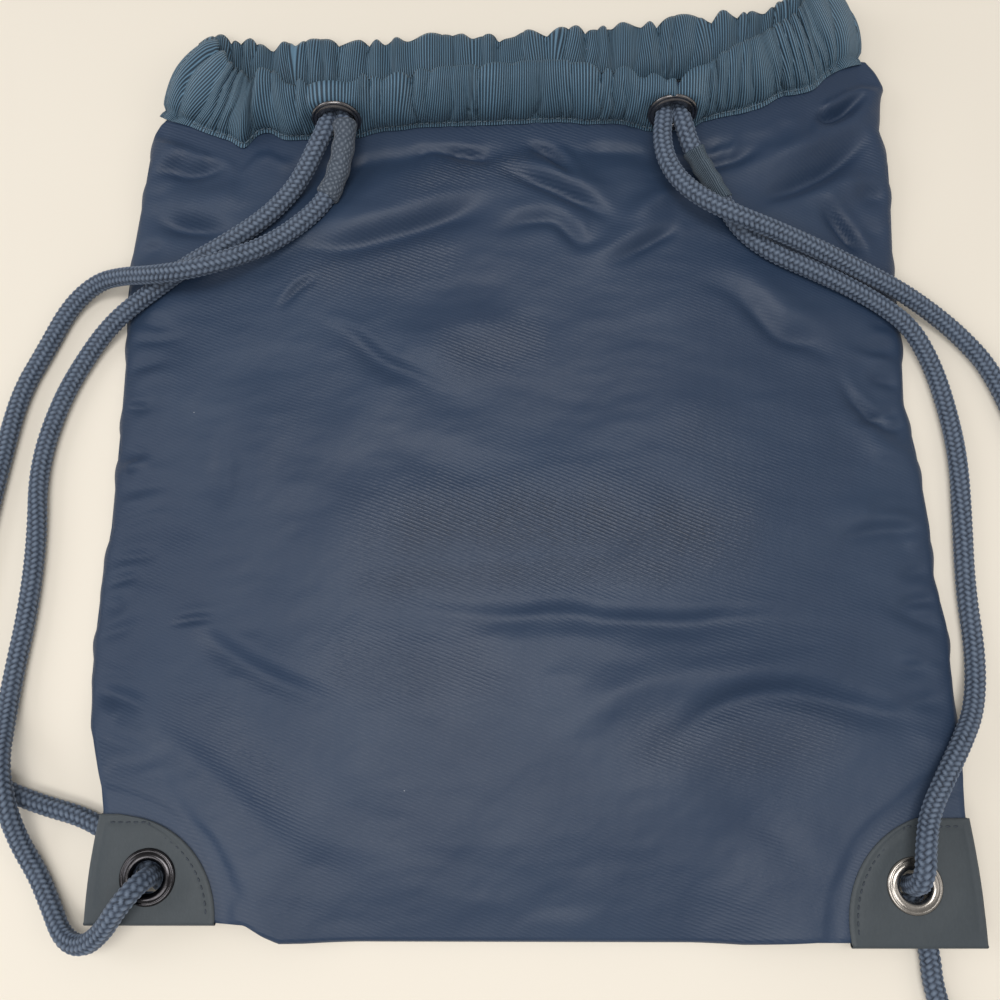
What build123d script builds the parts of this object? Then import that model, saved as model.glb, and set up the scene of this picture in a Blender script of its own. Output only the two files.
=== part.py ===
from build123d import *
import math
import os

# Drawstring backpack, lying on its back panel on a table, mouth towards +Y.
# +X is to the wearer's left in this pose, +Z is up from the table.
# Units are millimetres. Origin: bottom centre of the bag without its cords.

# ---------------------------------------------------------------- dimensions
FABRIC = 0.8            # modelled thickness of the body cloth
LEATHER = 1.0           # thickness of a corner patch leaf
BODY_GAP = 0.35         # clearance between cloth that moves apart
CORD_D = 8.0            # braided cord diameter
CORD_R = CORD_D / 2
CHANNEL_CORD_R = 3.3    # the cord is pressed a little thinner inside the channel
HOLE_R = 6.0            # clear hole of every eyelet
BARREL_R = 6.6          # outside of an eyelet's barrel
FLANGE_R = 10.75        # outside of an eyelet's flange
WASHER_R = 9.2          # outside of the back washer
FLANGE_T = 1.5          # height of the domed flange
WASHER_T = 1.0          # back washer thickness
HINGE_Y = -106.0        # fold line across the front panel
HINGE_Z = 18.9          # height of the fold line
FRONT_T = 13.0          # front channel thickness, gathers included
FRONT_HALF = 12.0       # half of the front channel's height
BACK_T = 11.0           # back channel thickness
BACK_HALF = 12.0        # half of the back channel's height
CHANNEL_WALL = 0.9      # channel cloth thickness
CORNER_LIFT = 11.0      # the cord passes under the corners and lifts them

EYE_TOP_L = (-79.6, 131.7, 31.0)
EYE_TOP_R = (65.5, 134.8, 31.2)
EYE_BOT_L = (-144.3, -181.3)
EYE_BOT_R = (149.9, -184.5)
BAND_TILT = 80.0        # lean of the front channel at the eyelets, degrees

os.makedirs("parts", exist_ok=True)


# ---------------------------------------------------------------- helpers
def smooth(t):
    t = max(0.0, min(1.0, t))
    return t * t * (3 - 2 * t)


def table(rows, t):
    if t <= rows[0][0]:
        return rows[0][1]
    for (a, va), (b, vb) in zip(rows, rows[1:]):
        if t <= b:
            return va + (vb - va) * (t - a) / (b - a)
    return rows[-1][1]


def solid_from_triangles(triangles):
    faces = [Face(Wire.make_polygon([Vector(*p) for p in tri], close=True)) for tri in triangles]
    body = Solid(Shell(faces))
    return body if body.volume > 0 else Solid(Shell([-f for f in faces]))


def quad(a, b, c, d):
    return [(a, b, c), (a, c, d)]


def sheet_solid(grid_top, grid_bottom):
    """Closed solid between two grids of points, rows by columns."""
    rows, cols = len(grid_top), len(grid_top[0])
    tris = []
    for r in range(rows - 1):
        for c in range(cols - 1):
            tris += quad(grid_top[r][c], grid_top[r][c + 1], grid_top[r + 1][c + 1], grid_top[r + 1][c])
            tris += quad(grid_bottom[r][c], grid_bottom[r + 1][c], grid_bottom[r + 1][c + 1], grid_bottom[r][c + 1])[::-1]
    for c in range(cols - 1):
        tris += quad(grid_bottom[0][c], grid_bottom[0][c + 1], grid_top[0][c + 1], grid_top[0][c])
        tris += quad(grid_bottom[-1][c], grid_top[-1][c], grid_top[-1][c + 1], grid_bottom[-1][c + 1])
    for r in range(rows - 1):
        tris += quad(grid_bottom[r][0], grid_top[r][0], grid_top[r + 1][0], grid_bottom[r + 1][0])
        tris += quad(grid_bottom[r][-1], grid_bottom[r + 1][-1], grid_top[r + 1][-1], grid_top[r][-1])
    return solid_from_triangles(tris)


def route_radii(points, override=None):
    """One radius for each corner: as large as its two runs allow."""
    radii = []
    for i in range(1, len(points) - 1):
        a, b, c = (Vector(*points[i - 1]), Vector(*points[i]), Vector(*points[i + 1]))
        turn = math.radians((b - a).get_angle(c - b))
        run = min((b - a).length, (c - b).length)
        r = 0.45 * run / math.tan(turn / 2)
        if override and i in override:
            r = min(r, override[i])
        radii.append(min(r, 4000.0))
    return radii


def cord_tube(name, points, radius=CORD_R, limit=None, radii=None):
    if radii is None:
        radii = route_radii(points, {i: limit for i in range(len(points))} if limit else None)
    path = FilletPolyline(*points, radius=radii)
    start = Plane(origin=path @ 0, z_dir=path % 0)
    tube = sweep(start * Circle(radius), path=path)
    length = path.length
    print(f"{name}: length {length:.1f} mm, radii {[round(r, 1) for r in radii]}")
    print(f"   volume {tube.volume:.0f}, section x length {math.pi * radius ** 2 * length:.0f}")
    return tube, length


def split_route(points, index, gap=0.8):
    """Cut a route in the middle of the run that starts at points[index]."""
    a, b = Vector(*points[index]), Vector(*points[index + 1])
    mid, step = (a + b) * 0.5, (b - a).normalized() * (gap / 2)
    near, far = mid - step, mid + step
    radii = route_radii(points)
    return ((points[:index + 1] + [(near.X, near.Y, near.Z)], radii[:index]),
            ([(far.X, far.Y, far.Z)] + points[index + 1:], radii[index:]))


def write(shape, node, label_colour=None):
    export_step(shape, f"parts/{node}.step")
    print(f"{node}: volume {shape.volume:.0f}")


# ---------------------------------------------------------------- outline
LEFT = [(-198, -166.5), (-180, -165.5), (-157, -164), (-148, -165.5), (-125, -173.5), (-106, -177),
        (-90, -177), (-63, -176), (-42, -174), (0, -173.5), (36, -173.5), (59, -175), (83, -173),
        (107, -169.3), (131, -167), (146, -165)]
RIGHT = [(-206, 175), (-180, 173.5), (-157, 172.7), (-148, 173), (-125, 175.5), (-106, 177),
         (-84, 177), (-63, 173.3), (-42, 173.5), (-9, 170.5), (13, 167), (48, 168.5), (72, 166.7),
         (107, 166.5), (132, 165.4), (160, 163)]
# height of the room inside the bag along its middle
CAVITY = [(-207, 0), (-190, 5), (-170, 10), (-148, 13.5), (-106, 16.8), (-50, 19.5), (0, 20.5), (60, 21),
          (100, 21), (135, 19.5)]
# bottom edge of the cloth: the left corner sits a little higher than the rest
BOTTOM = [(-112, -197.6), (-85, -206.4), (85, -207.2), (112, -205.4)]
# sewn line between the cloth and the front channel: x, y, z
FRONT_SEAM = [(-166, 137.5, 6.0), (-150, 134.0, 11.5), (-128, 130.7, 13.8), (-105, 128.2, 16.8),
              (-80, 126.3, 19.2), (-45, 127.4, 20.3), (0, 128.4, 20.7), (40, 128.0, 20.5),
              (66, 128.0, 19.2), (95, 136.9, 19.4), (118, 146.8, 17.2), (138, 159.0, 13.0),
              (163, 156.5, 6.5)]
# upper edge of the back panel, sewn to the back channel
BACK_SEAM = [(-165, 146), (-154, 150.5), (-135, 159.5), (-110, 161), (-60, 162.5), (0, 164.5), (60, 168.5),
             (100, 175), (130, 181.5), (146, 182), (163, 163)]


def lift(x, y):
    return smooth((abs(x) - 62) / 50.0) * smooth((-100 - y) / 50.0)


def z_back(x, y):
    return CORNER_LIFT * lift(x, y)


def z_front(x, y, gap):
    """Underside of the front cloth."""
    xl, xr = table(LEFT, y), table(RIGHT, y)
    u = (x - xl) / (xr - xl)
    arch = 1 - abs(2 * u - 1) ** 3 if 0 < u < 1 else 0
    room = table(CAVITY, y) * arch * (1 - lift(x, y))
    return z_back(x, y) + FABRIC + gap + room


def columns(y, inner):
    return [table(LEFT, y)] + inner + [table(RIGHT, y)]


INNER = [-150.0, -131.0, -112.0, -87.0, -62.0, -31.0, 0.0, 31.0, 62.0, 87.0, 112.0, 131.0, 150.0]

# ---------------------------------------------------------------- back panel
rows_bottom = [None, -180.0, -150.0, -128.0, -106.0]
rows_upper = [-75.0, -40.0, 0.0, 40.0, 80.0, 112.0, 138.0]


def point_rows(rows, z_of, end_rows=()):
    grid = []
    for y in rows:
        line = []
        y0 = -200.0 if y is None else y
        for x in columns(y0, INNER):
            yy = table(BOTTOM, x) if y is None else y
            line.append((x, yy, z_of(x, yy)))
        grid.append(line)
    return grid


def offset(grid, dz):
    return [[(x, y, z + dz) for x, y, z in line] for line in grid]


back_grid = point_rows(rows_bottom + rows_upper, z_back)
back_grid.append([(x, table(BACK_SEAM, x), 0.0) for x in [-164.0] + INNER + [162.0]])
back_panel = sheet_solid(offset(back_grid, FABRIC), back_grid)

# ---------------------------------------------------------------- front panel
def low_front(x, y):
    edge = y < -190
    return z_front(x, y, 0.0 if edge else 0.4)


lower_rows = [None, -190.0, -180.0, -165.0, -150.0, -128.0, HINGE_Y - 0.3]
low_grid = []
for y in lower_rows:
    line = []
    cols = columns(-200.0 if y is None else y, INNER)
    for k, x in enumerate(cols):
        yy = table(BOTTOM, x) if y is None else y
        if y == -190.0 and x < -100:
            yy = -189.0
        side = k in (0, len(cols) - 1) or y is None
        line.append((x, yy, z_front(x, yy, 0.0 if side else 0.4)))
    low_grid.append(line)
front_panel_lower = sheet_solid(offset(low_grid, FABRIC), low_grid)

up_rows = [HINGE_Y + 0.3, -75.0, -40.0, 0.0, 35.0, 65.0, 90.0, 112.0]
up_grid = []
for y in up_rows:
    up_grid.append([(x, y, z_front(x, y, BODY_GAP)) for x in columns(y, INNER)])
seam_row = []
for x in [-166.0] + INNER + [163.0]:
    seam_row.append((x, table([(p[0], p[1]) for p in FRONT_SEAM], x), table([(p[0], p[2]) for p in FRONT_SEAM], x) - FABRIC))
up_grid.append(seam_row)
front_panel = sheet_solid(offset(up_grid, FABRIC), up_grid)

# ---------------------------------------------------------------- channels
def band_ring(stations, thick, half, wall):
    """A gathered channel: a flattened tube of cloth, open at both ends."""
    def ring(x, cy, cz, tilt, t, h, cut):
        a = math.radians(tilt)
        u = (math.cos(a), math.sin(a))
        n = (-math.sin(a), math.cos(a))
        pts = [(t, h - cut), (t - cut, h), (-(t - cut), h), (-t, h - cut),
               (-t, -(h - cut)), (-(t - cut), -h), (t - cut, -h), (t, -(h - cut))]
        return [(x, cy + p * n[0] + q * u[0], cz + p * n[1] + q * u[1]) for p, q in pts]
    outer = [ring(*s, thick / 2, half, 2.0) for s in stations]
    inner = [ring(*s, thick / 2 - wall, half - wall, 1.6) for s in stations]
    tris = []
    for k in range(len(stations) - 1):
        for i in range(8):
            j = (i + 1) % 8
            tris += quad(outer[k][i], outer[k][j], outer[k + 1][j], outer[k + 1][i])
            tris += quad(inner[k][i], inner[k + 1][i], inner[k + 1][j], inner[k][j])
    for i in range(8):
        j = (i + 1) % 8
        tris += quad(outer[0][i], inner[0][i], inner[0][j], outer[0][j])
        tris += quad(outer[-1][i], outer[-1][j], inner[-1][j], inner[-1][i])
    return solid_from_triangles(tris)


FRONT_BAND = [(-148, 150, 20, 30), (-128, 144, 23, 42), (-108, 140.8, 27.5, 58), (-92, 138.1, 29.9, BAND_TILT),
              (-67.5, 138.1, 29.9, BAND_TILT), (-42, 139.7, 31, 58), (0, 141, 31.8, 54), (32, 141.2, 31, 58),
              (53.5, 141.2, 30.07, BAND_TILT), (77.5, 141.2, 30.07, BAND_TILT), (97, 149.5, 29.2, 58),
              (118, 161, 27, 46), (138, 176, 21.5, 30)]
BACK_BAND = [(-154, 163, 5.5, 0), (-135, 172, 5.5, 0), (-110, 173.5, 5.5, 0), (-60, 175, 5.5, 0), (0, 177, 5.5, 0),
             (60, 181, 5.5, 0), (100, 187.5, 5.5, 0), (130, 194.2, 5.5, 0), (146, 195.2, 5.5, 0)]
front_band = band_ring(FRONT_BAND, FRONT_T, FRONT_HALF, CHANNEL_WALL)
back_band = band_ring(BACK_BAND, BACK_T, BACK_HALF, CHANNEL_WALL)


# ---------------------------------------------------------------- eyelets
def eyelet_pair(through):
    """Flanged eyelet and its back washer, flange seat at z = 0, cloth below it."""
    r_in, r_out = HOLE_R, BARREL_R
    mid = (r_in + FLANGE_R) / 2
    lip = -(through + WASHER_T + 0.5)
    with BuildSketch(Plane.XZ) as profile:
        with BuildLine():
            Polyline((r_in, lip), (r_out, lip), (r_out, 0.0), (FLANGE_R, 0.0), (FLANGE_R, 0.45))
            Spline((FLANGE_R, 0.45), (mid, FLANGE_T), (r_in, 0.5), tangents=[(-0.55, 1), (-0.55, -1)])
            Line((r_in, 0.5), (r_in, lip))
        make_face()
    flange = revolve(profile.sketch, Axis.Z, 360)
    washer = Pos(0, 0, -(through + WASHER_T / 2)) * (Cylinder(WASHER_R, WASHER_T) - Cylinder(BARREL_R + 0.05, WASHER_T * 2))
    return flange, washer


def seated(shape, at, tilt_from_vertical):
    """Place an eyelet with its axis leaning towards -Y."""
    return Pos(*at) * (Rot(tilt_from_vertical, 0, 0) * shape)


tops = {}
for side, at in (("left", EYE_TOP_L), ("right", EYE_TOP_R)):
    flange, washer = eyelet_pair(CHANNEL_WALL + 0.1)
    n = (0.0, -math.sin(math.radians(BAND_TILT)), math.cos(math.radians(BAND_TILT)))
    seat = (at[0], at[1] + n[1] * 0.05, at[2] + n[2] * 0.05)
    tops[side] = (seated(flange, seat, BAND_TILT), seated(washer, seat, BAND_TILT))
    bore = seated(Cylinder(BARREL_R + 0.1, 14), seat, BAND_TILT)
    front_band = front_band - bore

leaf_top = CORNER_LIFT + 2 * FABRIC + 0.4 + 0.05     # underside of a patch's front leaf
seat_z = leaf_top + LEATHER + 0.02
through = seat_z - (CORNER_LIFT - 0.05 - LEATHER) + 0.02
bottoms = {}
for side, at in (("left", EYE_BOT_L), ("right", EYE_BOT_R)):
    flange, washer = eyelet_pair(through)
    bottoms[side] = (Pos(at[0], at[1], seat_z) * flange, Pos(at[0], at[1], seat_z) * washer)
    bore = Pos(at[0], at[1], seat_z - 5) * Cylinder(BARREL_R + 0.1, 40)
    back_panel = back_panel - bore
    front_panel_lower = front_panel_lower - bore


# ---------------------------------------------------------------- corner patches
def corner_patch(outline, arc, fold_y, x0, x1, eye):
    with BuildSketch() as leaf:
        with BuildLine():
            Polyline(*outline)
            ThreePointArc(*arc)
        make_face()
    upper = Pos(0, 0, leaf_top) * extrude(leaf.sketch, LEATHER)
    lower = Pos(0, 0, CORNER_LIFT - 0.05 - LEATHER) * extrude(leaf.sketch, LEATHER)
    low_z, high_z = CORNER_LIFT - 0.05 - LEATHER, leaf_top + LEATHER
    fold = Pos((x0 + x1) / 2, fold_y - LEATHER / 2, (low_z + high_z) / 2) * Box(x1 - x0, LEATHER, high_z - low_z)
    bore = Pos(eye[0], eye[1], 10) * Cylinder(BARREL_R + 0.1, 30)
    return (upper + lower + fold) - bore


patch_left = corner_patch([(-151.0, -159.0), (-164.5, -157.0), (-167.6, -197.75), (-118.0, -197.75)],
                          [(-118.0, -197.75), (-127.2, -172.6), (-151.0, -159.0)],
                          -197.75, -167.6, -118.0, EYE_BOT_L)
patch_right = corner_patch([(152.5, -159.7), (173.4, -159.3), (176.2, -206.0), (124.8, -206.0)],
                           [(124.8, -206.0), (131.4, -175.6), (152.5, -159.7)],
                           -206.0, 124.8, 176.2, EYE_BOT_R)

# ---------------------------------------------------------------- cords
# Each side is one endless cord: twice round the mouth inside the channel, out of
# its upper eyelet as two strands, and through the lower eyelet on its own side.
HOLE_L, HOLE_R_XY = EYE_BOT_L, EYE_BOT_R
STRAND_A = [(-83.7, 129.35, 31.42), (-84.9, 124.1, 32.3), (-88.4, 117.0, 31.0), (-92.8, 108.6, 28.0),
            (-99.6, 98.8, 25.6), (-110.7, 87.6, 24.5), (-127.4, 77.0, 22.5), (-144.4, 69.4, 18.0),
            (-159.7, 60.1, 13.0), (-175.3, 50.0, 8.5), (-187.5, 36.7, 4.2), (-199.3, 12.5, 4.2),
            (-206.0, -17.8, 4.2), (-203.5, -48.1, 4.2), (-204.4, -77.6, 4.2), (-207.8, -104.2, 4.2),
            (-208.5, -124.0, 6.2), (-205.5, -139.5, 14.8), (-201.2, -155.5, 14.8), (-197.5, -170.0, 6.5),
            (-190.3, -181.5, 4.2), (-184.0, -193.0, 5.0), (-177.0, -204.5, 8.3), (-166.7, -206.8, 13.5),
            (-157.5, -199.5, 20.0), (-152.8, -192.9, 24.1), (-147.94, -186.3, 24.6), (-144.3, -181.3, 18.4),
            (-144.3, -181.3, 10.2)]
STRAND_B = [(-75.4, 129.73, 31.35), (-75.4, 124.1, 32.3), (-76.4, 116.6, 31.0), (-78.8, 106.8, 28.2),
            (-83.0, 97.4, 26.6), (-90.6, 88.2, 25.8), (-106.1, 76.0, 26.0), (-122.0, 67.0, 30.5),
            (-139.2, 61.6, 31.0), (-157.5, 62.5, 24.0), (-172.1, 65.9, 15.5), (-185.8, 66.5, 8.0),
            (-198.6, 56.6, 4.2), (-207.2, 36.6, 4.2), (-216.8, 16.0, 4.2), (-221.8, -13.0, 4.2),
            (-227.0, -50.0, 4.2), (-230.5, -90.0, 4.2), (-227.5, -124.0, 4.2), (-213.0, -147.0, 4.2),
            (-193.0, -154.8, 4.2), (-171.5, -160.5, 4.2), (-155.5, -171.5, 4.2), (-141.0, -184.5, 4.2)]
STRAND_C = [(61.3, 132.83, 31.55), (60.9, 127.2, 32.5), (60.5, 119.8, 32.8), (62.0, 110.4, 33.4),
            (67.0, 100.4, 34.6), (76.6, 91.2, 36.0), (90.7, 83.8, 36.0), (107.8, 79.8, 30.6),
            (128.7, 73.5, 24.0), (147.1, 66.8, 18.5), (164.2, 60.9, 12.5), (180.6, 53.0, 6.0),
            (193.6, 41.8, 4.2), (204.5, 27.5, 4.2), (213.5, 3.0, 4.2), (226.0, -32.0, 4.2),
            (239.0, -76.0, 4.2), (244.0, -124.0, 4.2), (239.0, -172.0, 4.2), (229.0, -210.0, 4.2),
            (213.0, -237.0, 4.2), (196.0, -249.5, 4.2), (177.5, -249.5, 4.2), (163.5, -240.5, 4.2),
            (157.3, -224.0, 4.2), (157.2, -206.5, 4.2), (152.0, -188.0, 4.2)]
STRAND_D = [(69.7, 132.83, 31.55), (70.3, 127.2, 32.5), (72.2, 120.4, 31.4), (76.8, 112.8, 28.4),
            (82.4, 104.4, 26.2), (87.4, 94.6, 25.2), (94.9, 82.2, 24.2), (107.8, 73.0, 22.9),
            (124.8, 66.8, 20.2), (141.4, 61.0, 15.8), (156.7, 54.4, 11.4), (169.8, 45.6, 8.0),
            (178.6, 31.6, 4.2), (183.5, 12.5, 4.2), (186.9, -11.7, 4.2), (185.9, -39.6, 4.2),
            (184.5, -69.2, 4.2), (186.1, -96.0, 4.2), (181.8, -117.5, 8.5), (172.3, -131.0, 15.5),
            (163.0, -144.3, 19.2), (155.4, -157.6, 20.2), (151.4, -169.9, 24.3), (150.55, -178.3, 24.6),
            (149.9, -184.5, 18.4), (149.9, -184.5, 10.2)]

a_top, a_run = split_route(STRAND_A, 9)
b_top, b_run = split_route(STRAND_B, 11)
c_top, c_run = split_route(STRAND_C, 11)
d_top, d_run = split_route(STRAND_D, 11)

cords = {}
for name, pts in (("cord_left_front_top", a_top), ("cord_left_front", a_run), ("cord_left_back_top", b_top),
                  ("cord_left_back", b_run), ("cord_right_back_top", c_top), ("cord_right_back", c_run),
                  ("cord_right_front_top", d_top), ("cord_right_front", d_run)):
    cords[name] = cord_tube(name, pts[0], radii=pts[1])

# sewn joins: a sleeve of ribbed tape round one strand just outside each upper eyelet
def sleeve(strand, first, last, lead):
    pts = strand[first:last + 1]
    a, b = Vector(*pts[0]), Vector(*pts[1])
    start = a + (b - a) * lead
    c, d = Vector(*pts[-2]), Vector(*pts[-1])
    stop = c + (d - c) * 0.5
    pts = [(start.X, start.Y, start.Z)] + pts[1:-1] + [(stop.X, stop.Y, stop.Z)]
    full = route_radii(strand)
    radii = full[first:last - 1]
    path = FilletPolyline(*pts, radius=radii)
    plane = Plane(origin=path @ 0, z_dir=path % 0)
    return sweep(plane * Circle(CORD_R + 0.75), path=path) - sweep(plane * Circle(CORD_R + 0.03), path=path)


splice_left = sleeve(STRAND_B, 2, 5, 0.5)
splice_right = sleeve(STRAND_D, 2, 5, 0.5)


# cord runs inside the channels, two side by side
def channel_run(name, stations, across, back):
    pts = []
    for x, cy, cz, tilt in stations:
        a = math.radians(tilt)
        u = (math.cos(a), math.sin(a))
        n = (-math.sin(a), math.cos(a))
        pts.append((x, cy + u[0] * across - n[0] * back, cz + u[1] * across - n[1] * back))
    first, last = Vector(*pts[0]), Vector(*pts[-1])
    second, before = Vector(*pts[1]), Vector(*pts[-2])
    s, e = first + (second - first) * 0.12, last + (before - last) * 0.12
    pts = [(s.X, s.Y, s.Z)] + pts[1:-1] + [(e.X, e.Y, e.Z)]
    return cord_tube(name, pts, radius=CHANNEL_CORD_R, limit=35.0)


cords["channel_cord_front_1"] = channel_run("channel_cord_front_1", FRONT_BAND, 4.2, 0.8)
cords["channel_cord_front_2"] = channel_run("channel_cord_front_2", FRONT_BAND, -4.2, 0.8)
cords["channel_cord_back_1"] = channel_run("channel_cord_back_1", BACK_BAND, 4.3, 0.0)
cords["channel_cord_back_2"] = channel_run("channel_cord_back_2", BACK_BAND, -4.3, 0.0)

# ---------------------------------------------------------------- write
write(back_panel, "back_panel")
write(front_panel_lower, "front_panel_lower")
write(front_panel, "front_panel")
write(front_band, "front_band")
write(back_band, "back_band")
write(patch_left, "corner_patch_left")
write(patch_right, "corner_patch_right")
for side in ("left", "right"):
    write(tops[side][0], f"eyelet_top_{side}")
    write(tops[side][1], f"washer_top_{side}")
    write(bottoms[side][0], f"eyelet_bottom_{side}")
    write(bottoms[side][1], f"washer_bottom_{side}")
write(splice_left, "splice_left")
write(splice_right, "splice_right")
for name, (tube, length) in cords.items():
    write(tube, name)
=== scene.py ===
import math
import random

import bpy
import numpy as np
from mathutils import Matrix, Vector


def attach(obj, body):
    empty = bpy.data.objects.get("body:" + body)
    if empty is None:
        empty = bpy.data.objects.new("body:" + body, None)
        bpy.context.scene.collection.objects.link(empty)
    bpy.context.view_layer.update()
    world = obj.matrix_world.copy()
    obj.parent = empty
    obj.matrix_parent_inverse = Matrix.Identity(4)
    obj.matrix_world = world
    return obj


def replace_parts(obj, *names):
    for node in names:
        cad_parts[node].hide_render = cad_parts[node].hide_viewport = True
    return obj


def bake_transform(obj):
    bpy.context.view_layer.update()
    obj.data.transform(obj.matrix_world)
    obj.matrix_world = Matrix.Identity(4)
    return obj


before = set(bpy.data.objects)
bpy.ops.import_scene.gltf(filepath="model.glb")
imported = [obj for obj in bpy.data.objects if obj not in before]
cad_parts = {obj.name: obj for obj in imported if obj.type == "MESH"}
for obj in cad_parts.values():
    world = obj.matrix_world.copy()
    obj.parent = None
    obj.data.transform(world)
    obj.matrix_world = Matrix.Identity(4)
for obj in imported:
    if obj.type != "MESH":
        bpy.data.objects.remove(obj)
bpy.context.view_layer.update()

MM = 0.001
scene = bpy.context.scene
scene.view_settings.view_transform = "Standard"
scene.view_settings.look = "None"
RNG = np.random.default_rng(7)

# ------------------------------------------------------------------ camera

camera_data = bpy.data.cameras.new("camera")
camera_data.lens = 37.8
camera_data.sensor_width = 36.0
camera = bpy.data.objects.new("camera", camera_data)
camera.location = (-0.0090, -0.12670396, 0.43856672)
camera.rotation_euler = (math.radians(12.4347), 0.0, 0.0)
scene.collection.objects.link(camera)
scene.camera = camera


# ------------------------------------------------------------------ helpers

def smooth(t):
    t = np.clip(t, 0.0, 1.0)
    return t * t * (3.0 - 2.0 * t)


def table(rows, t):
    rows = sorted(rows)
    return np.interp(t, [r[0] for r in rows], [r[1] for r in rows])


def through(points, n, t=None):
    """A Catmull-Rom curve through the points, at n even steps of its parameter."""
    p = np.asarray(points, float)
    k = len(p)
    q = np.vstack([2 * p[0] - p[1], p, 2 * p[-1] - p[-2]])
    u = np.linspace(0, k - 1, n) if t is None else t
    i = np.clip(u.astype(int), 0, k - 2)
    f = (u - i)[:, None]
    a, b, c, d = q[i], q[i + 1], q[i + 2], q[i + 3]
    return 0.5 * (2 * b + (c - a) * f + (2 * a - 5 * b + 4 * c - d) * f**2 + (3 * b - a - 3 * c + d) * f**3)


def waves(x, y, scale, seed, octaves=3, stretch=(1.0, 1.0)):
    """Smooth seeded noise in about -1..1; scale is the size of its features in mm."""
    r = np.random.default_rng(seed)
    out = np.zeros_like(x, dtype=float)
    total = 0.0
    for o in range(octaves):
        s = scale / (1.9**o)
        amp = 0.55**o
        part = np.zeros_like(out)
        for _ in range(7):
            ang = r.uniform(0, 2 * math.pi)
            k = 2 * math.pi / s * r.uniform(0.6, 1.25)
            px = r.uniform(0, 2 * math.pi)
            wx = 0.35 * np.sin(y * stretch[1] * k * 0.43 + px * 1.7)
            part += np.sin(k * (math.cos(ang) * x * stretch[0] + math.sin(ang) * y * stretch[1]) + px + wx)
        out += amp * part / 3.2
        total += amp
    return out / total


def make_mesh(name, verts, quads, uvs=None, attrs=None):
    """A mesh object from numpy arrays in mm. uvs is per face corner."""
    used, inv = np.unique(quads.ravel(), return_inverse=True)
    verts = verts[used] * MM
    quads = inv.reshape(quads.shape)
    me = bpy.data.meshes.new(name)
    me.vertices.add(len(verts))
    me.vertices.foreach_set("co", verts.ravel().astype(np.float32))
    w = quads.shape[1]
    me.loops.add(quads.size)
    me.loops.foreach_set("vertex_index", quads.ravel().astype(np.int32))
    me.polygons.add(len(quads))
    me.polygons.foreach_set("loop_start", np.arange(0, quads.size, w, dtype=np.int32))
    me.polygons.foreach_set("use_smooth", np.ones(len(quads), bool))
    if uvs is not None:
        layer = me.uv_layers.new(name="UVMap")
        layer.data.foreach_set("uv", np.asarray(uvs, np.float32).ravel())
    for key, values in (attrs or {}).items():
        a = me.attributes.new(key, "FLOAT", "POINT")
        a.data.foreach_set("value", np.asarray(values, np.float32).ravel()[used])
    me.validate()
    me.update(calc_edges=True)
    ob = bpy.data.objects.new(name, me)
    scene.collection.objects.link(ob)
    return ob


def grid(name, p, u=None, v=None, wrap=False, keep=None, attrs=None, flip=False):
    """A mesh of quads on a grid of points p[row, column]; u and v are in metres, with one more column when it wraps."""
    n, m = p.shape[:2]
    cols = m if wrap else m - 1
    i, j = np.meshgrid(np.arange(n - 1), np.arange(cols), indexing="ij")
    i, j = i.ravel(), j.ravel()
    if keep is not None:
        ok = keep[i, j]
        i, j = i[ok], j[ok]
    k = (j + 1) % m
    quads = np.stack([i * m + j, i * m + k, (i + 1) * m + k, (i + 1) * m + j], 1)
    uvs = None
    if u is not None:
        uvs = np.stack([np.stack([w[i, j], w[i, j + 1], w[i + 1, j + 1], w[i + 1, j]], 1) for w in (u, v)], 2)
    if flip:
        quads = quads[:, ::-1]
        if uvs is not None:
            uvs = uvs[:, ::-1]
    return make_mesh(name, p.reshape(-1, 3), quads, uvs, attrs)


def join_capsules(name, segments, radius, squash=0.7):
    """Short thread stitches: one capsule for each (start, end, up) in mm."""
    verts, quads = [], []
    rings = [(-1.0, 0.25), (-0.75, 0.85), (0.0, 1.0), (0.75, 0.85), (1.0, 0.25)]
    sides = 6
    for a, b, up in segments:
        a, b, up = np.array(a, float), np.array(b, float), np.array(up, float)
        d = b - a
        half = np.linalg.norm(d) / 2
        d = d / (2 * half)
        side = np.cross(d, up)
        side /= np.linalg.norm(side)
        up = np.cross(side, d)
        base = len(verts)
        for t, r in rings:
            c = (a + b) / 2 + d * half * t + up * radius * 0.35 * (1 - t * t)
            for q in range(sides):
                w = 2 * math.pi * q / sides
                verts.append(c + radius * r * (math.cos(w) * side + squash * math.sin(w) * up))
        for ri in range(len(rings) - 1):
            for q in range(sides):
                q2 = (q + 1) % sides
                quads.append([base + ri * sides + q, base + ri * sides + q2, base + (ri + 1) * sides + q2, base + (ri + 1) * sides + q])
        for ri in (0, len(rings) - 1):
            o = base + ri * sides
            quads.append([o, o + 1, o + 2, o + 3])
            quads.append([o, o + 3, o + 4, o + 5])
    return make_mesh(name, np.array(verts), np.array(quads))


# ------------------------------------------------------------------ materials

def material(name):
    m = bpy.data.materials.new(name)
    m.use_nodes = True
    m.node_tree.nodes.clear()
    out = m.node_tree.nodes.new("ShaderNodeOutputMaterial")
    bsdf = m.node_tree.nodes.new("ShaderNodeBsdfPrincipled")
    m.node_tree.links.new(bsdf.outputs[0], out.inputs["Surface"])
    return m, m.node_tree, bsdf


def node(tree, kind, **inputs):
    n = tree.nodes.new(kind)
    for key, value in inputs.items():
        if key.startswith("_"):
            setattr(n, key[1:], value)
        else:
            n.inputs[key.replace("__", " ")].default_value = value
    return n


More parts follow.
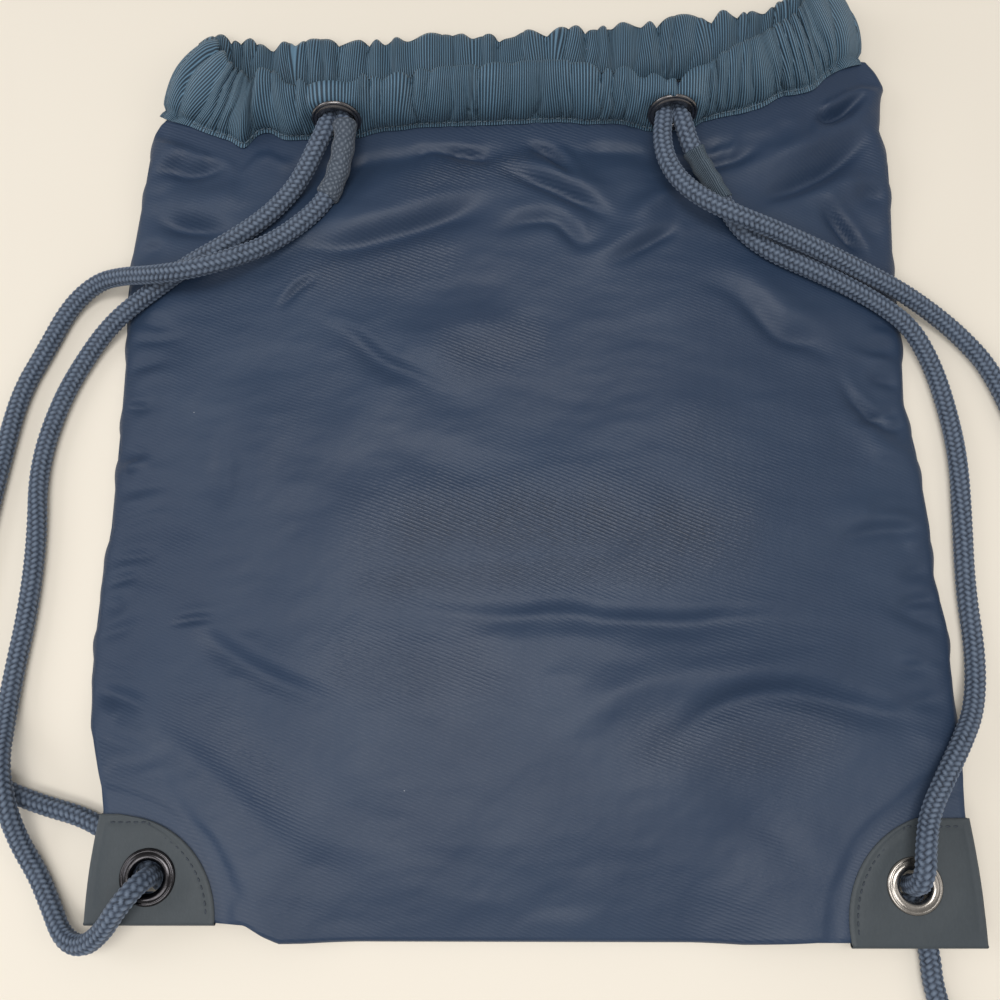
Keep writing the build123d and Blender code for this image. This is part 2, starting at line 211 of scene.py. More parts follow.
def math_node(tree, op, a, b=None, c=None, clamp=False):
    n = tree.nodes.new("ShaderNodeMath")
    n.operation = op
    n.use_clamp = clamp
    for k, x in enumerate((a, b, c)):
        if x is None:
            continue
        if isinstance(x, (int, float)):
            n.inputs[k].default_value = x
        else:
            tree.links.new(x, n.inputs[k])
    return n.outputs[0]


def ramp(tree, fac, stops, interpolation="LINEAR"):
    n = tree.nodes.new("ShaderNodeValToRGB")
    n.color_ramp.interpolation = interpolation
    els = n.color_ramp.elements
    while len(els) < len(stops):
        els.new(0.5)
    for e, (pos, col) in zip(els, stops):
        e.position = pos
        e.color = (*col, 1.0)
    tree.links.new(fac, n.inputs["Fac"])
    return n.outputs["Color"]


def mix_color(tree, fac, a, b, mode="MIX"):
    n = tree.nodes.new("ShaderNodeMix")
    n.data_type = "RGBA"
    n.blend_type = mode
    n.clamp_factor = True
    for socket, x in ((n.inputs[0], fac), (n.inputs[6], a), (n.inputs[7], b)):
        if isinstance(x, (int, float)):
            socket.default_value = x
        elif isinstance(x, tuple):
            socket.default_value = (*x, 1.0)
        else:
            tree.links.new(x, socket)
    return n.outputs[2]


def ramp_value(tree, fac, lo, hi):
    n = tree.nodes.new("ShaderNodeMapRange")
    n.inputs["From Min"].default_value = lo
    n.inputs["From Max"].default_value = hi
    n.inputs["To Min"].default_value = 0.06
    n.inputs["To Max"].default_value = 1.0
    tree.links.new(fac, n.inputs["Value"])
    return n.outputs[0]


def noise(tree, vector, scale, detail=3.0, rough=0.55, stretch=None):
    if stretch is not None:
        mp = tree.nodes.new("ShaderNodeMapping")
        mp.inputs["Scale"].default_value = stretch
        tree.links.new(vector, mp.inputs["Vector"])
        vector = mp.outputs[0]
    n = node(tree, "ShaderNodeTexNoise", Scale=scale, Detail=detail, Roughness=rough)
    tree.links.new(vector, n.inputs["Vector"])
    return n.outputs["Fac"]


def lines(tree, vector, period, angle=0.0, distortion=0.0, detail_scale=1.0):
    """Parallel lines across the direction given by angle, period in metres."""
    mp = tree.nodes.new("ShaderNodeMapping")
    mp.inputs["Rotation"].default_value = (0, 0, angle)
    tree.links.new(vector, mp.inputs["Vector"])
    n = node(tree, "ShaderNodeTexWave", Scale=2 * math.pi / 20.0 / period, Distortion=distortion, Detail=1.0)
    n.inputs["Detail Scale"].default_value = detail_scale
    n.wave_type = "BANDS"
    n.bands_direction = "X"
    n.wave_profile = "SIN"
    tree.links.new(mp.outputs[0], n.inputs["Vector"])
    return n.outputs["Fac"]


def bump(tree, height, strength, distance, normal=None):
    n = tree.nodes.new("ShaderNodeBump")
    n.inputs["Strength"].default_value = strength
    n.inputs["Distance"].default_value = distance
    tree.links.new(height, n.inputs["Height"])
    if normal is not None:
        tree.links.new(normal, n.inputs["Normal"])
    return n.outputs[0]


def navy_cloth():
    m, t, b = material("navy_satin_twill")
    uv = t.nodes.new("ShaderNodeUVMap")
    uv.uv_map = "UVMap"
    p = uv.outputs[0]
    twill = lines(t, p, 0.00138, math.radians(-69), distortion=0.5, detail_scale=0.02)
    dash = noise(t, p, 900.0, 1.5, stretch=(0.55, 1.15, 1.0))
    shown = noise(t, p, 13.0, 1.0)
    fine = lines(t, p, 0.00052, math.radians(14), distortion=0.2, detail_scale=0.1)
    broad = noise(t, p, 9.0, 3.0)
    fibre = noise(t, p, 900.0, 2.0, stretch=(1.0, 0.25, 1.0))
    cloud = noise(t, p, 26.0, 4.0, 0.6)
    base = ramp(t, broad, [(0.30, (0.0140, 0.0318, 0.0720)), (0.70, (0.0220, 0.0440, 0.0890))])
    weave = math_node(t, "MULTIPLY", twill, math_node(t, "MULTIPLY_ADD", dash, 1.7, -0.35, clamp=True))
    # this attribute marks bands where a highlight is painted into the cloth's colour; there the cloth is also glossier
    # and its twill stands out more
    glint = t.nodes.new("ShaderNodeAttribute")
    glint.attribute_name = "glint"
    shown = math_node(t, "MULTIPLY_ADD", shown, 0.5, math_node(t, "SUBTRACT", glint.outputs["Fac"], 0.22), clamp=True)
    base = mix_color(t, math_node(t, "MULTIPLY", weave, 0.10), base, (0.040, 0.064, 0.112))
    # painted shade between the twill lines and painted highlight on them, inside the highlight bands
    painted_shade_between_lines = math_node(t, "SUBTRACT", 0.62, weave, clamp=True)
    base = mix_color(t, math_node(t, "MULTIPLY", painted_shade_between_lines, math_node(t, "MULTIPLY", glint.outputs["Fac"], 0.58), clamp=True), base, (0.006, 0.010, 0.022))
    base = mix_color(t, math_node(t, "MULTIPLY", weave, math_node(t, "MULTIPLY", glint.outputs["Fac"], 0.90), clamp=True), base, (0.190, 0.208, 0.250))
    base = mix_color(t, math_node(t, "MULTIPLY", fibre, 0.22), base, (0.016, 0.028, 0.056))
    # small pale specks of lint
    cells = node(t, "ShaderNodeTexVoronoi", Scale=44.0)
    t.links.new(p, cells.inputs["Vector"])
    spot = math_node(t, "LESS_THAN", cells.outputs["Distance"], 0.0105)
    sep = t.nodes.new("ShaderNodeSeparateColor")
    t.links.new(cells.outputs["Color"], sep.inputs[0])
    some = math_node(t, "GREATER_THAN", sep.outputs[0], 0.45)
    spot = math_node(t, "MULTIPLY", spot, some)
    base = mix_color(t, math_node(t, "MULTIPLY", spot, 0.6), base, (0.42, 0.45, 0.50))
    t.links.new(base, b.inputs["Base Color"])
    rough = math_node(t, "MULTIPLY_ADD", cloud, 0.14, 0.475)
    rough = math_node(t, "MULTIPLY_ADD", weave, -0.10, rough)
    rough = math_node(t, "MULTIPLY_ADD", glint.outputs["Fac"], -0.07, rough)
    t.links.new(rough, b.inputs["Roughness"])
    b.inputs["Specular IOR Level"].default_value = 0.42
    b.inputs["Sheen Weight"].default_value = 0.05
    b.inputs["Sheen Roughness"].default_value = 0.45
    b.inputs["Sheen Tint"].default_value = (0.60, 0.72, 0.95, 1.0)
    n1 = bump(t, math_node(t, "MULTIPLY", weave, ramp_value(t, shown, 0.0, 0.9)), 1.0, 0.00075)
    n2 = bump(t, fine, 0.25, 0.00005, n1)
    n3 = bump(t, cloud, 0.20, 0.0012, n2)
    t.links.new(n3, b.inputs["Normal"])
    return m


def teal_rib(name="teal_rib", period=0.00115, dark=(0.0035, 0.0120, 0.0260), light=(0.1180, 0.2250, 0.3300)):
    m, t, b = material(name)
    uv = t.nodes.new("ShaderNodeUVMap")
    uv.uv_map = "UVMap"
    p = uv.outputs[0]
    rib = lines(t, p, period, 0.0, distortion=0.5, detail_scale=0.05)
    cross = lines(t, p, 0.00042, math.radians(90))
    broad = noise(t, p, 30.0, 4.0)
    thread = noise(t, p, 1400.0, 2.0, stretch=(1.0, 0.12, 1.0))
    # the ribs' colour is painted near black in the grooves (painted shade) and pale on their tops (painted highlight),
    # over the real teal or slate
    base = ramp(t, rib, [(0.22, dark), (0.80, light)])
    base = mix_color(t, math_node(t, "MULTIPLY", broad, 0.26), base, (0.030, 0.074, 0.122))
    base = mix_color(t, math_node(t, "MULTIPLY", thread, 0.14), base, (0.085, 0.150, 0.210))
    t.links.new(base, b.inputs["Base Color"])
    rough = math_node(t, "MULTIPLY_ADD", rib, -0.12, 0.62)
    t.links.new(rough, b.inputs["Roughness"])
    b.inputs["Specular IOR Level"].default_value = 0.45
    b.inputs["Sheen Weight"].default_value = 0.18
    b.inputs["Sheen Roughness"].default_value = 0.4
    b.inputs["Sheen Tint"].default_value = (0.55, 0.80, 1.0, 1.0)
    n1 = bump(t, rib, 1.0, 0.00055)
    n2 = bump(t, cross, 0.2, 0.00005, n1)
    t.links.new(n2, b.inputs["Normal"])
    return m


def stitched_join():
    m, t, b = material("slate_stitched_join")
    uv = t.nodes.new("ShaderNodeUVMap")
    uv.uv_map = "UVMap"
    p = uv.outputs[0]
    zig = lines(t, p, 0.0015, math.radians(34), distortion=4.0, detail_scale=1.2)
    zag = lines(t, p, 0.0017, math.radians(-41), distortion=4.0, detail_scale=1.2)
    fibre = noise(t, p, 2200.0, 3.0, stretch=(1.0, 0.4, 1.0))
    h = math_node(t, "MULTIPLY_ADD", math_node(t, "MULTIPLY", zig, zag), 0.55, math_node(t, "MULTIPLY", fibre, 0.6), clamp=True)
    # painted shade in the hollows of the zigzag and painted highlight where it stands up, over the slate colour
    t.links.new(ramp(t, h, [(0.15, (0.018, 0.027, 0.042)), (0.42, (0.062, 0.082, 0.114)), (0.85, (0.135, 0.160, 0.200))]), b.inputs["Base Color"])
    t.links.new(math_node(t, "MULTIPLY_ADD", fibre, 0.2, 0.55), b.inputs["Roughness"])
    b.inputs["Specular IOR Level"].default_value = 0.35
    b.inputs["Sheen Weight"].default_value = 0.15
    t.links.new(bump(t, h, 0.9, 0.00040), b.inputs["Normal"])
    return m


def leatherette():
    m, t, b = material("grey_blue_leatherette")
    uv = t.nodes.new("ShaderNodeUVMap")
    uv.uv_map = "UVMap"
    p = uv.outputs[0]
    grain = node(t, "ShaderNodeTexVoronoi", Scale=1150.0, Randomness=0.9)
    grain.feature = "SMOOTH_F1"
    warp = t.nodes.new("ShaderNodeMapping")
    warp.inputs["Scale"].default_value = (1.0, 0.62, 1.0)
    t.links.new(p, warp.inputs["Vector"])
    t.links.new(warp.outputs[0], grain.inputs["Vector"])
    broad = noise(t, p, 38.0, 4.0)
    fine = noise(t, p, 700.0, 3.0)
    base = ramp(t, broad, [(0.30, (0.036, 0.047, 0.057)), (0.72, (0.049, 0.062, 0.073))])
    base = mix_color(t, math_node(t, "MULTIPLY", grain.outputs["Distance"], 0.35), base, (0.030, 0.037, 0.043))
    base = mix_color(t, math_node(t, "MULTIPLY", fine, 0.22), base, (0.084, 0.094, 0.101))
    edge = t.nodes.new("ShaderNodeAttribute")
    edge.attribute_name = "edge"
    worn = math_node(t, "MULTIPLY", edge.outputs["Fac"], math_node(t, "MULTIPLY_ADD", fine, 0.8, 0.2), clamp=True)
    base = mix_color(t, math_node(t, "MULTIPLY", worn, 0.55), base, (0.165, 0.178, 0.185))
    t.links.new(base, b.inputs["Base Color"])
    rough = math_node(t, "MULTIPLY_ADD", fine, 0.22, 0.46)
    t.links.new(rough, b.inputs["Roughness"])
    b.inputs["Specular IOR Level"].default_value = 0.32
    n1 = bump(t, grain.outputs["Distance"], 0.35, 0.00014)
    n2 = bump(t, fine, 0.25, 0.0001, n1)
    t.links.new(n2, b.inputs["Normal"])
    return m


def gunmetal(name, low, high, rough=0.16):
    m, t, b = material(name)
    tc = t.nodes.new("ShaderNodeTexCoord")
    p = tc.outputs["Object"]
    patch = noise(t, p, 240.0, 3.0)
    scratch = noise(t, p, 1500.0, 2.0, stretch=(1.0, 0.15, 1.0))
    base = ramp(t, patch, [(0.3, low), (0.75, high)])
    t.links.new(base, b.inputs["Base Color"])
    b.inputs["Metallic"].default_value = 1.0
    r = math_node(t, "MULTIPLY_ADD", scratch, 0.16, rough)
    t.links.new(r, b.inputs["Roughness"])
    t.links.new(bump(t, scratch, 0.08, 0.00005), b.inputs["Normal"])
    return m


def braid_material():
    m, t, b = material("slate_braid")
    a = t.nodes.new("ShaderNodeAttribute")
    a.attribute_name = "braid"
    uv = t.nodes.new("ShaderNodeUVMap")
    uv.uv_map = "UVMap"
    p = uv.outputs[0]
    fibre = noise(t, p, 2600.0, 3.0, 0.6)
    broad = noise(t, p, 60.0, 2.0)
    h = math_node(t, "ADD", a.outputs["Fac"], math_node(t, "MULTIPLY_ADD", fibre, 0.50, -0.25), clamp=True)
    # painted shade in the gaps between the strands and painted highlight on their crests, over the cord's slate colour
    base = ramp(t, h, [(0.08, (0.0060, 0.0100, 0.0190)), (0.45, (0.0410, 0.0600, 0.0960)), (0.95, (0.1350, 0.1760, 0.2450))])
    base = mix_color(t, math_node(t, "MULTIPLY", broad, 0.22), base, (0.060, 0.082, 0.125))
    t.links.new(base, b.inputs["Base Color"])
    t.links.new(math_node(t, "MULTIPLY_ADD", fibre, 0.20, 0.55), b.inputs["Roughness"])
    b.inputs["Specular IOR Level"].default_value = 0.40
    b.inputs["Sheen Weight"].default_value = 0.20
    b.inputs["Sheen Roughness"].default_value = 0.5
    b.inputs["Sheen Tint"].default_value = (0.70, 0.80, 1.0, 1.0)
    t.links.new(bump(t, fibre, 0.55, 0.00018), b.inputs["Normal"])
    return m


def thread_material(name, low, high):
    m, t, b = material(name)
    tc = t.nodes.new("ShaderNodeTexCoord")
    fuzz = noise(t, tc.outputs["Object"], 2200.0, 2.0)
    t.links.new(ramp(t, fuzz, [(0.25, low), (0.75, high)]), b.inputs["Base Color"])
    t.links.new(math_node(t, "MULTIPLY_ADD", fuzz, 0.2, 0.5), b.inputs["Roughness"])
    t.links.new(bump(t, fuzz, 0.5, 0.00012), b.inputs["Normal"])
    return m


NAVY = navy_cloth()
TEAL = teal_rib()
TAPE = teal_rib("slate_tape", 0.00070, (0.010, 0.018, 0.030), (0.100, 0.128, 0.165))
JOIN = stitched_join()
LEATHER = leatherette()
# the lower eyelets are one metal: one copy is darkened as a painted dark reflection, the other lightened as a painted
# bright reflection
METAL_PAINTED_DARK_REFLECTION = gunmetal("gunmetal_painted_dark_reflection", (0.030, 0.029, 0.032), (0.060, 0.058, 0.062), 0.10)
METAL_PAINTED_BRIGHT_REFLECTION = gunmetal("gunmetal_painted_bright_reflection", (0.290, 0.270, 0.248), (0.400, 0.374, 0.345), 0.16)
METAL = gunmetal("gunmetal", (0.150, 0.145, 0.150), (0.240, 0.230, 0.232), 0.15)
BRAID = braid_material()
THREAD = thread_material("seam_thread", (0.040, 0.075, 0.110), (0.130, 0.175, 0.220))
THREAD_DARK = thread_material("patch_thread", (0.014, 0.020, 0.032), (0.045, 0.058, 0.078))


def dress(obj, mat):
    obj.data.materials.clear()
    obj.data.materials.append(mat)
    return obj


# ------------------------------------------------------------------ cords

STRAND_A = [
    (-82.3, 137.2, 30.0), (-82.9, 131.6, 31.1), (-84.9, 124.1, 32.3), (-88.4, 117.0, 31.0), (-92.8, 108.6, 28.0),
    (-99.6, 98.8, 25.6), (-110.7, 87.6, 24.5), (-127.4, 77.0, 22.5), (-144.4, 69.4, 18.0), (-159.7, 60.1, 13.0),
    (-175.3, 50.0, 8.5), (-187.5, 36.7, 4.2), (-199.3, 12.5, 4.2), (-206.0, -17.8, 4.2), (-203.5, -48.1, 4.2),
    (-204.4, -77.6, 4.2), (-207.8, -104.2, 4.2), (-208.5, -124.0, 6.2), (-205.5, -139.5, 14.8), (-201.2, -155.5, 14.8),
    (-197.5, -170.0, 6.5), (-190.3, -181.5, 4.2), (-184.0, -193.0, 5.0), (-177.0, -204.5, 8.3), (-166.7, -206.8, 13.5),
    (-157.5, -199.5, 20.0), (-152.8, -192.9, 24.1), (-147.94, -186.3, 24.6), (-144.3, -181.3, 18.4), (-144.3, -181.3, 8.4)]
STRAND_B = [
    (-76.9, 137.2, 30.0), (-76.3, 131.6, 31.1), (-75.4, 124.1, 32.3), (-76.4, 116.6, 31.0), (-78.8, 106.8, 28.2),
    (-83.0, 97.4, 26.6), (-90.6, 88.2, 25.8), (-106.1, 76.0, 26.0), (-122.0, 67.0, 30.5), (-139.2, 61.6, 31.0),
    (-157.5, 62.5, 24.0), (-172.1, 65.9, 15.5), (-185.8, 66.5, 8.0), (-198.6, 56.6, 4.2), (-207.2, 36.6, 4.2),
    (-216.8, 16.0, 4.2), (-221.8, -13.0, 4.2), (-227.0, -50.0, 4.2), (-230.5, -90.0, 4.2), (-227.5, -124.0, 4.2),
    (-213.0, -147.0, 4.2), (-193.0, -154.8, 4.2), (-171.5, -160.5, 4.2), (-155.5, -171.5, 4.2), (-141.0, -184.5, 4.2)]
STRAND_C = [
    (62.8, 140.3, 30.2), (62.2, 134.7, 31.2), (60.9, 127.2, 32.5), (60.5, 119.8, 32.8), (62.0, 110.4, 33.4),
    (67.0, 100.4, 34.6), (76.6, 91.2, 36.0), (90.7, 83.8, 36.0), (107.8, 79.8, 30.6), (128.7, 73.5, 24.0),
    (147.1, 66.8, 18.5), (164.2, 60.9, 12.5), (180.6, 53.0, 6.0), (193.6, 41.8, 4.2), (204.5, 27.5, 4.2),
    (213.5, 3.0, 4.2), (226.0, -32.0, 4.2), (239.0, -76.0, 4.2), (244.0, -124.0, 4.2), (239.0, -172.0, 4.2),
    (229.0, -210.0, 4.2), (213.0, -237.0, 4.2), (196.0, -249.5, 4.2), (177.5, -249.5, 4.2), (163.5, -240.5, 4.2),
    (157.3, -224.0, 4.2), (157.2, -206.5, 4.2), (152.0, -188.0, 4.2)]
STRAND_D = [
    (68.2, 140.3, 30.2), (68.8, 134.7, 31.2), (70.3, 127.2, 32.5), (72.2, 120.4, 31.4), (76.8, 112.8, 28.4),
    (82.4, 104.4, 26.2), (87.4, 94.6, 25.2), (94.9, 82.2, 24.2), (107.8, 73.0, 22.9), (124.8, 66.8, 20.2),
    (141.4, 61.0, 15.8), (156.7, 54.4, 11.4), (169.8, 45.6, 8.0), (178.6, 31.6, 4.2), (183.5, 12.5, 4.2),
    (186.9, -11.7, 4.2), (185.9, -39.6, 4.2), (184.5, -69.2, 4.2), (186.1, -96.0, 4.2), (181.8, -117.5, 8.5),
    (172.3, -131.0, 15.5), (163.0, -144.3, 19.2), (155.4, -157.6, 20.2), (151.4, -169.9, 24.3), (150.55, -178.3, 24.6),
    (149.9, -184.5, 18.4), (149.9, -184.5, 8.4)]


def centre_line(name, points):
    """The route's own smooth line, read back from a NURBS curve, in metres."""
    data = bpy.data.curves.new(name, "CURVE")
    data.dimensions = "3D"
    data.resolution_u = 20
    spline = data.splines.new("NURBS")
    spline.points.add(len(points) - 1)
    for q, (x, y, z) in zip(spline.points, points):
        q.co = (x * MM, y * MM, z * MM, 1.0)
    spline.order_u = 3
    spline.use_endpoint_u = True
    obj = bpy.data.objects.new(name, data)
    scene.collection.objects.link(obj)
    bpy.context.view_layer.update()
    me = bpy.data.meshes.new_from_object(obj)
    line = np.array([v.co[:] for v in me.vertices])
    bpy.data.meshes.remove(me)
    bpy.data.objects.remove(obj)
    bpy.data.curves.remove(data)
    step = np.linalg.norm(np.diff(line, axis=0), axis=1)
    line = line[np.r_[True, step > 1e-7]]
    return line * 1000.0


def frames_along(line, spacing):
    """Even points on a line with two directions across it that don't twist."""
    d = np.linalg.norm(np.diff(line, axis=0), axis=1)
    s = np.r_[0, np.cumsum(d)]
    n = max(8, int(round(s[-1] / spacing)) + 1)
    t = np.linspace(0, s[-1], n)
    p = np.stack([np.interp(t, s, line[:, k]) for k in range(3)], 1)
    tan = np.gradient(p, axis=0)
    tan /= np.linalg.norm(tan, axis=1)[:, None]
    for _ in range(3):
        tan[1:-1] = tan[:-2] + 2 * tan[1:-1] + tan[2:]
        tan /= np.linalg.norm(tan, axis=1)[:, None]
    a = np.empty_like(p)
    first = np.cross(tan[0], [0.0, 0.0, 1.0])
    if np.linalg.norm(first) < 1e-3:
        first = np.array([1.0, 0, 0])
    a[0] = first / np.linalg.norm(first)
    for k in range(1, n):
        w = a[k - 1] - tan[k] * float(a[k - 1] @ tan[k])
        a[k] = w / np.linalg.norm(w)
    b = np.cross(tan, a)
    return p, tan, a, b, t


CORD_R = 4.0
CARRIERS = 8
PITCH = 2.3


def braided(name, line, radius=CORD_R, sides=40, spacing=0.48, narrow=(9.0, 0.70), tail=None):
    p, tan, a, b, s = frames_along(line, spacing)
    th = np.linspace(0, 2 * math.pi, sides + 1)
    S, T = np.meshgrid(s, th[:-1], indexing="ij")
    wander = 0.25 * np.sin(S / 37.0) + 0.15 * np.sin(S / 13.0 + 1.0)
    u = CARRIERS * (T + wander) / (2 * math.pi)
    A, B = u + S / PITCH, u - S / PITCH
    i, j = np.floor(A), np.floor(B)
    fa, fb = A - i, B - j
    over = np.mod(i + j, 4) < 2
    ha = np.sin(math.pi * np.clip(np.mod(i + B, 4) / 2, 0, 1)) * np.sqrt(np.clip(1 - (2 * fa - 1) ** 2, 0, 1))
    hb = np.sin(math.pi * np.clip(np.mod(A + j - 2, 4) / 2, 0, 1)) * np.sqrt(np.clip(1 - (2 * fb - 1) ** 2, 0, 1))
    h = np.where(over, ha, hb)
    h = np.clip(h, 0, 1) ** 0.75
    r = radius - 0.85 * (1 - h) + 0.12
    scale = narrow[1] + (1 - narrow[1]) * smooth(s / narrow[0]) if narrow else np.ones_like(s)
    if tail:
        scale = scale * (tail[1] + (1 - tail[1]) * smooth((s[-1] - s) / tail[0]))
    r = r * scale[:, None]
    ring = p[:, None, :] + r[:, :, None] * (np.cos(T)[:, :, None] * a[:, None, :] + np.sin(T)[:, :, None] * b[:, None, :])
    # closed ends
    start = p[0][None, None, :] + 0.02 * (ring[:1] - p[0])
    end = p[-1][None, None, :] + 0.02 * (ring[-1:] - p[-1])
    ring = np.concatenate([start, ring, end], 0)
    h = np.concatenate([h[:1] * 0, h, h[:1] * 0], 0)
    U = np.tile(th / (2 * math.pi) * 0.0251, (len(ring), 1))
    V = np.tile((np.r_[s[0], s, s[-1]] * MM)[:, None], (1, sides + 1))
    ob = grid(name, ring, U, V, wrap=True, attrs={"braid": h})
    dress(ob, BRAID)
    path = p[:: max(1, int(3.0 / spacing))]
    if np.linalg.norm(path[-1] - p[-1]) > 1e-6:
        path = np.vstack([path, p[-1]])
    return ob, path


cords = {}
for name, points, nodes, length in (
        ("braid_left_front", STRAND_A, ("cord_left_front_top", "cord_left_front"), 0.470),
        ("braid_left_back", STRAND_B, ("cord_left_back_top", "cord_left_back"), 0.473),
        ("braid_right_back", STRAND_C, ("cord_right_back_top", "cord_right_back"), 0.592),
        ("braid_right_front", STRAND_D, ("cord_right_front_top", "cord_right_front"), 0.408)):
    line = centre_line(name + "_line", points)
    ob, path = braided(name, line)
    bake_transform(ob)
    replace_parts(ob, *nodes)
    cords[name] = line
CORD_POINTS = np.vstack([frames_along(l, 1.5)[0] for l in cords.values()])


def sleeve(name, line, s0, s1, wide, thick, mat, sides=36):
    """A short sleeve of ribbed tape round a cord, from s0 to s1 along it, wide by thick across."""
    p, tan, a, b, s = frames_along(line, 0.5)
    keep = (s >= s0) & (s <= s1)
    p, tan, s = p[keep], tan[keep], s[keep]
    up = np.array([0.0, 0.0, 1.0])
    side = np.cross(tan, up)
    side /= np.linalg.norm(side, axis=1)[:, None]
    top = np.cross(side, tan)
    th = np.linspace(0, 2 * math.pi, sides + 1)
    w = (s - s0) / (s1 - s0)
    hem = 1 + 0.05 * np.sin(w * 23.0) + 0.10 * np.exp(-((w - 0.03) / 0.03) ** 2) + 0.10 * np.exp(-((w - 0.97) / 0.03) ** 2)
    c, q = np.cos(th[:-1]), np.sin(th[:-1])
    flat = np.sign(c) * np.abs(c) ** 0.8
    X = wide / 2 * hem[:, None] * flat[None, :]
    Y = thick / 2 * hem[:, None] * q[None, :]
    ring = p[:, None, :] + X[:, :, None] * side[:, None, :] + Y[:, :, None] * top[:, None, :]
    first = p[:1, None, :] + 0.80 * (ring[:1] - p[:1, None, :])
    last = p[-1:, None, :] + 0.80 * (ring[-1:] - p[-1:, None, :])
    ring = np.concatenate([first, ring, last], 0)
    U = np.tile(th / (2 * math.pi) * 0.027, (len(ring), 1))
    V = np.tile((np.r_[s[0], s, s[-1]] * MM)[:, None], (1, sides + 1))
    ob = grid(name, ring, U, V, wrap=True)
    dress(ob, mat)
    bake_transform(ob)
    return ob


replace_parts(sleeve("join_left", cords["braid_left_back"], 8.5, 42.0, 9.5, 8.8, JOIN), "splice_left")
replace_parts(sleeve("join_right", cords["braid_right_front"], 24.0, 50.0, 8.6, 8.5, TAPE), "splice_right")


# ------------------------------------------------------------------ the bag's shape

LEFT = [(-198, -166.5), (-180, -165.5), (-157, -164), (-148, -165.5), (-125, -173.5), (-106, -177), (-90, -177),
        (-63, -176), (-42, -174), (0, -173.5), (36, -173.5), (59, -175), (83, -173), (107, -169.3), (125.6, -167), (136.6, -165.5), (140.7, -163.5), (143.7, -160.4), (147, -158)]
RIGHT = [(-206, 175), (-180, 173.5), (-157, 172.7), (-148, 173), (-125, 175.5), (-106, 177), (-84, 177), (-63, 173.3),
         (-42, 173.5), (-9, 170.5), (13, 167), (48, 168.5), (72, 166.7), (107, 166.5), (124.5, 166), (139.6, 163.1), (148.2, 164.2), (160, 167), (168, 163.4), (174.5, 158.4)]
CAVITY = [(-207, 0), (-190, 5), (-170, 10), (-148, 13.5), (-106, 16.8), (-50, 19.5), (0, 20.5), (60, 21), (100, 21), (135, 19.5)]
BOTTOM_X = [-168, -118, -107, -100, -94, -85, 85, 112, 176]
BOTTOM_Y = [-197.6, -198.2, -199.2, -203.6, -206.4, -206.8, -207.2, -205.4, -205.6]

# the channel, front: lower seam and rim, point by point from the left corner to the right one
FRONT_ROWS = [
    ((-146, 163, 3.0), (-131, 182, 5.0)), ((-154.5, 153, 4.0), (-138, 183, 7.0)), ((-161.3, 147.2, 7.5), (-140.5, 183, 11)),
    ((-162.4, 144.8, 11.5), (-139, 179, 17)), ((-157, 141.5, 13.5), (-134, 169, 24)), ((-149, 138.9, 14.5), (-129.0, 159.5, 29.5)),
    ((-138, 133.6, 16), (-124, 153.0, 32.5)), ((-129, 130, 16.8), (-119.5, 149.5, 34)), ((-122.5, 126.5, 17), (-117.2, 145.5, 33.5)),
    ((-116.5, 132, 18.0), (-113.5, 149.5, 36.5)), ((-111, 133, 18.5), (-109.5, 149.5, 37)), ((-105, 129.5, 19.0), (-105.8, 149.0, 38)),
    ((-99, 129.0, 19.5), (-100.8, 142.4, 37.5)), ((-94, 129.2, 19.6), (-95.0, 142.8, 40)), ((-89, 129.4, 19.5), (-90, 140.4, 41.0)),
    ((-80, 129.5, 19.4), (-80, 140.2, 42.5)), ((-72, 129.8, 19.6), (-70.3, 140.4, 42.0)), ((-66, 131.4, 20.4), (-66.5, 144.4, 42.5)),
    ((-60, 132.4, 21.2), (-60, 142.2, 41.0)), ((-52, 132.8, 21.6), (-52.7, 144.6, 41.5)), ((-43.9, 133.7, 22), (-43.9, 145.7, 42)),
    ((-27, 134.3, 22), (-25, 147.3, 42.5)), ((-4, 135.2, 22), (-4, 148.9, 42.5)), ((17.5, 136.2, 22), (17, 149.8, 42.5)),
    ((29, 135.2, 22), (29, 148.4, 42)), ((38.5, 135.6, 22), (38.6, 145.9, 41.5)), ((44, 135.6, 21.6), (44.2, 147.2, 42)),
    ((51.8, 134.2, 20.8), (51.8, 142.6, 41)), ((56, 133.2, 20.0), (55.8, 143.8, 42.0)), ((64.5, 132.8, 19.6), (64.2, 140.8, 43.2)),
    ((73, 133.4, 20.0), (72.5, 146.0, 42.0)), ((80, 136.6, 21.2), (80.5, 149.8, 41.5)), ((88.3, 138.6, 21.8), (86.5, 155, 41)),
    ((97.6, 140.7, 21.5), (95, 159.6, 41)), ((107, 144, 21), (101, 162.5, 40.5)), ((115.8, 149.5, 20.5), (107, 166.5, 40)),
    ((124, 151.5, 19.5), (114.5, 172.3, 38.5)), ((131.6, 154.6, 18.5), (120.6, 178.0, 36)), ((138.3, 161.5, 17), (126, 187, 32)),
    ((146, 166.8, 15), (132, 198, 27)), ((155.1, 171, 12), (138.5, 207.5, 19)), ((156.0, 171.5, 8), (140, 208, 12)),
    ((151, 171, 4), (136, 206.5, 7)), ((141, 172, 3), (127, 202, 5))]
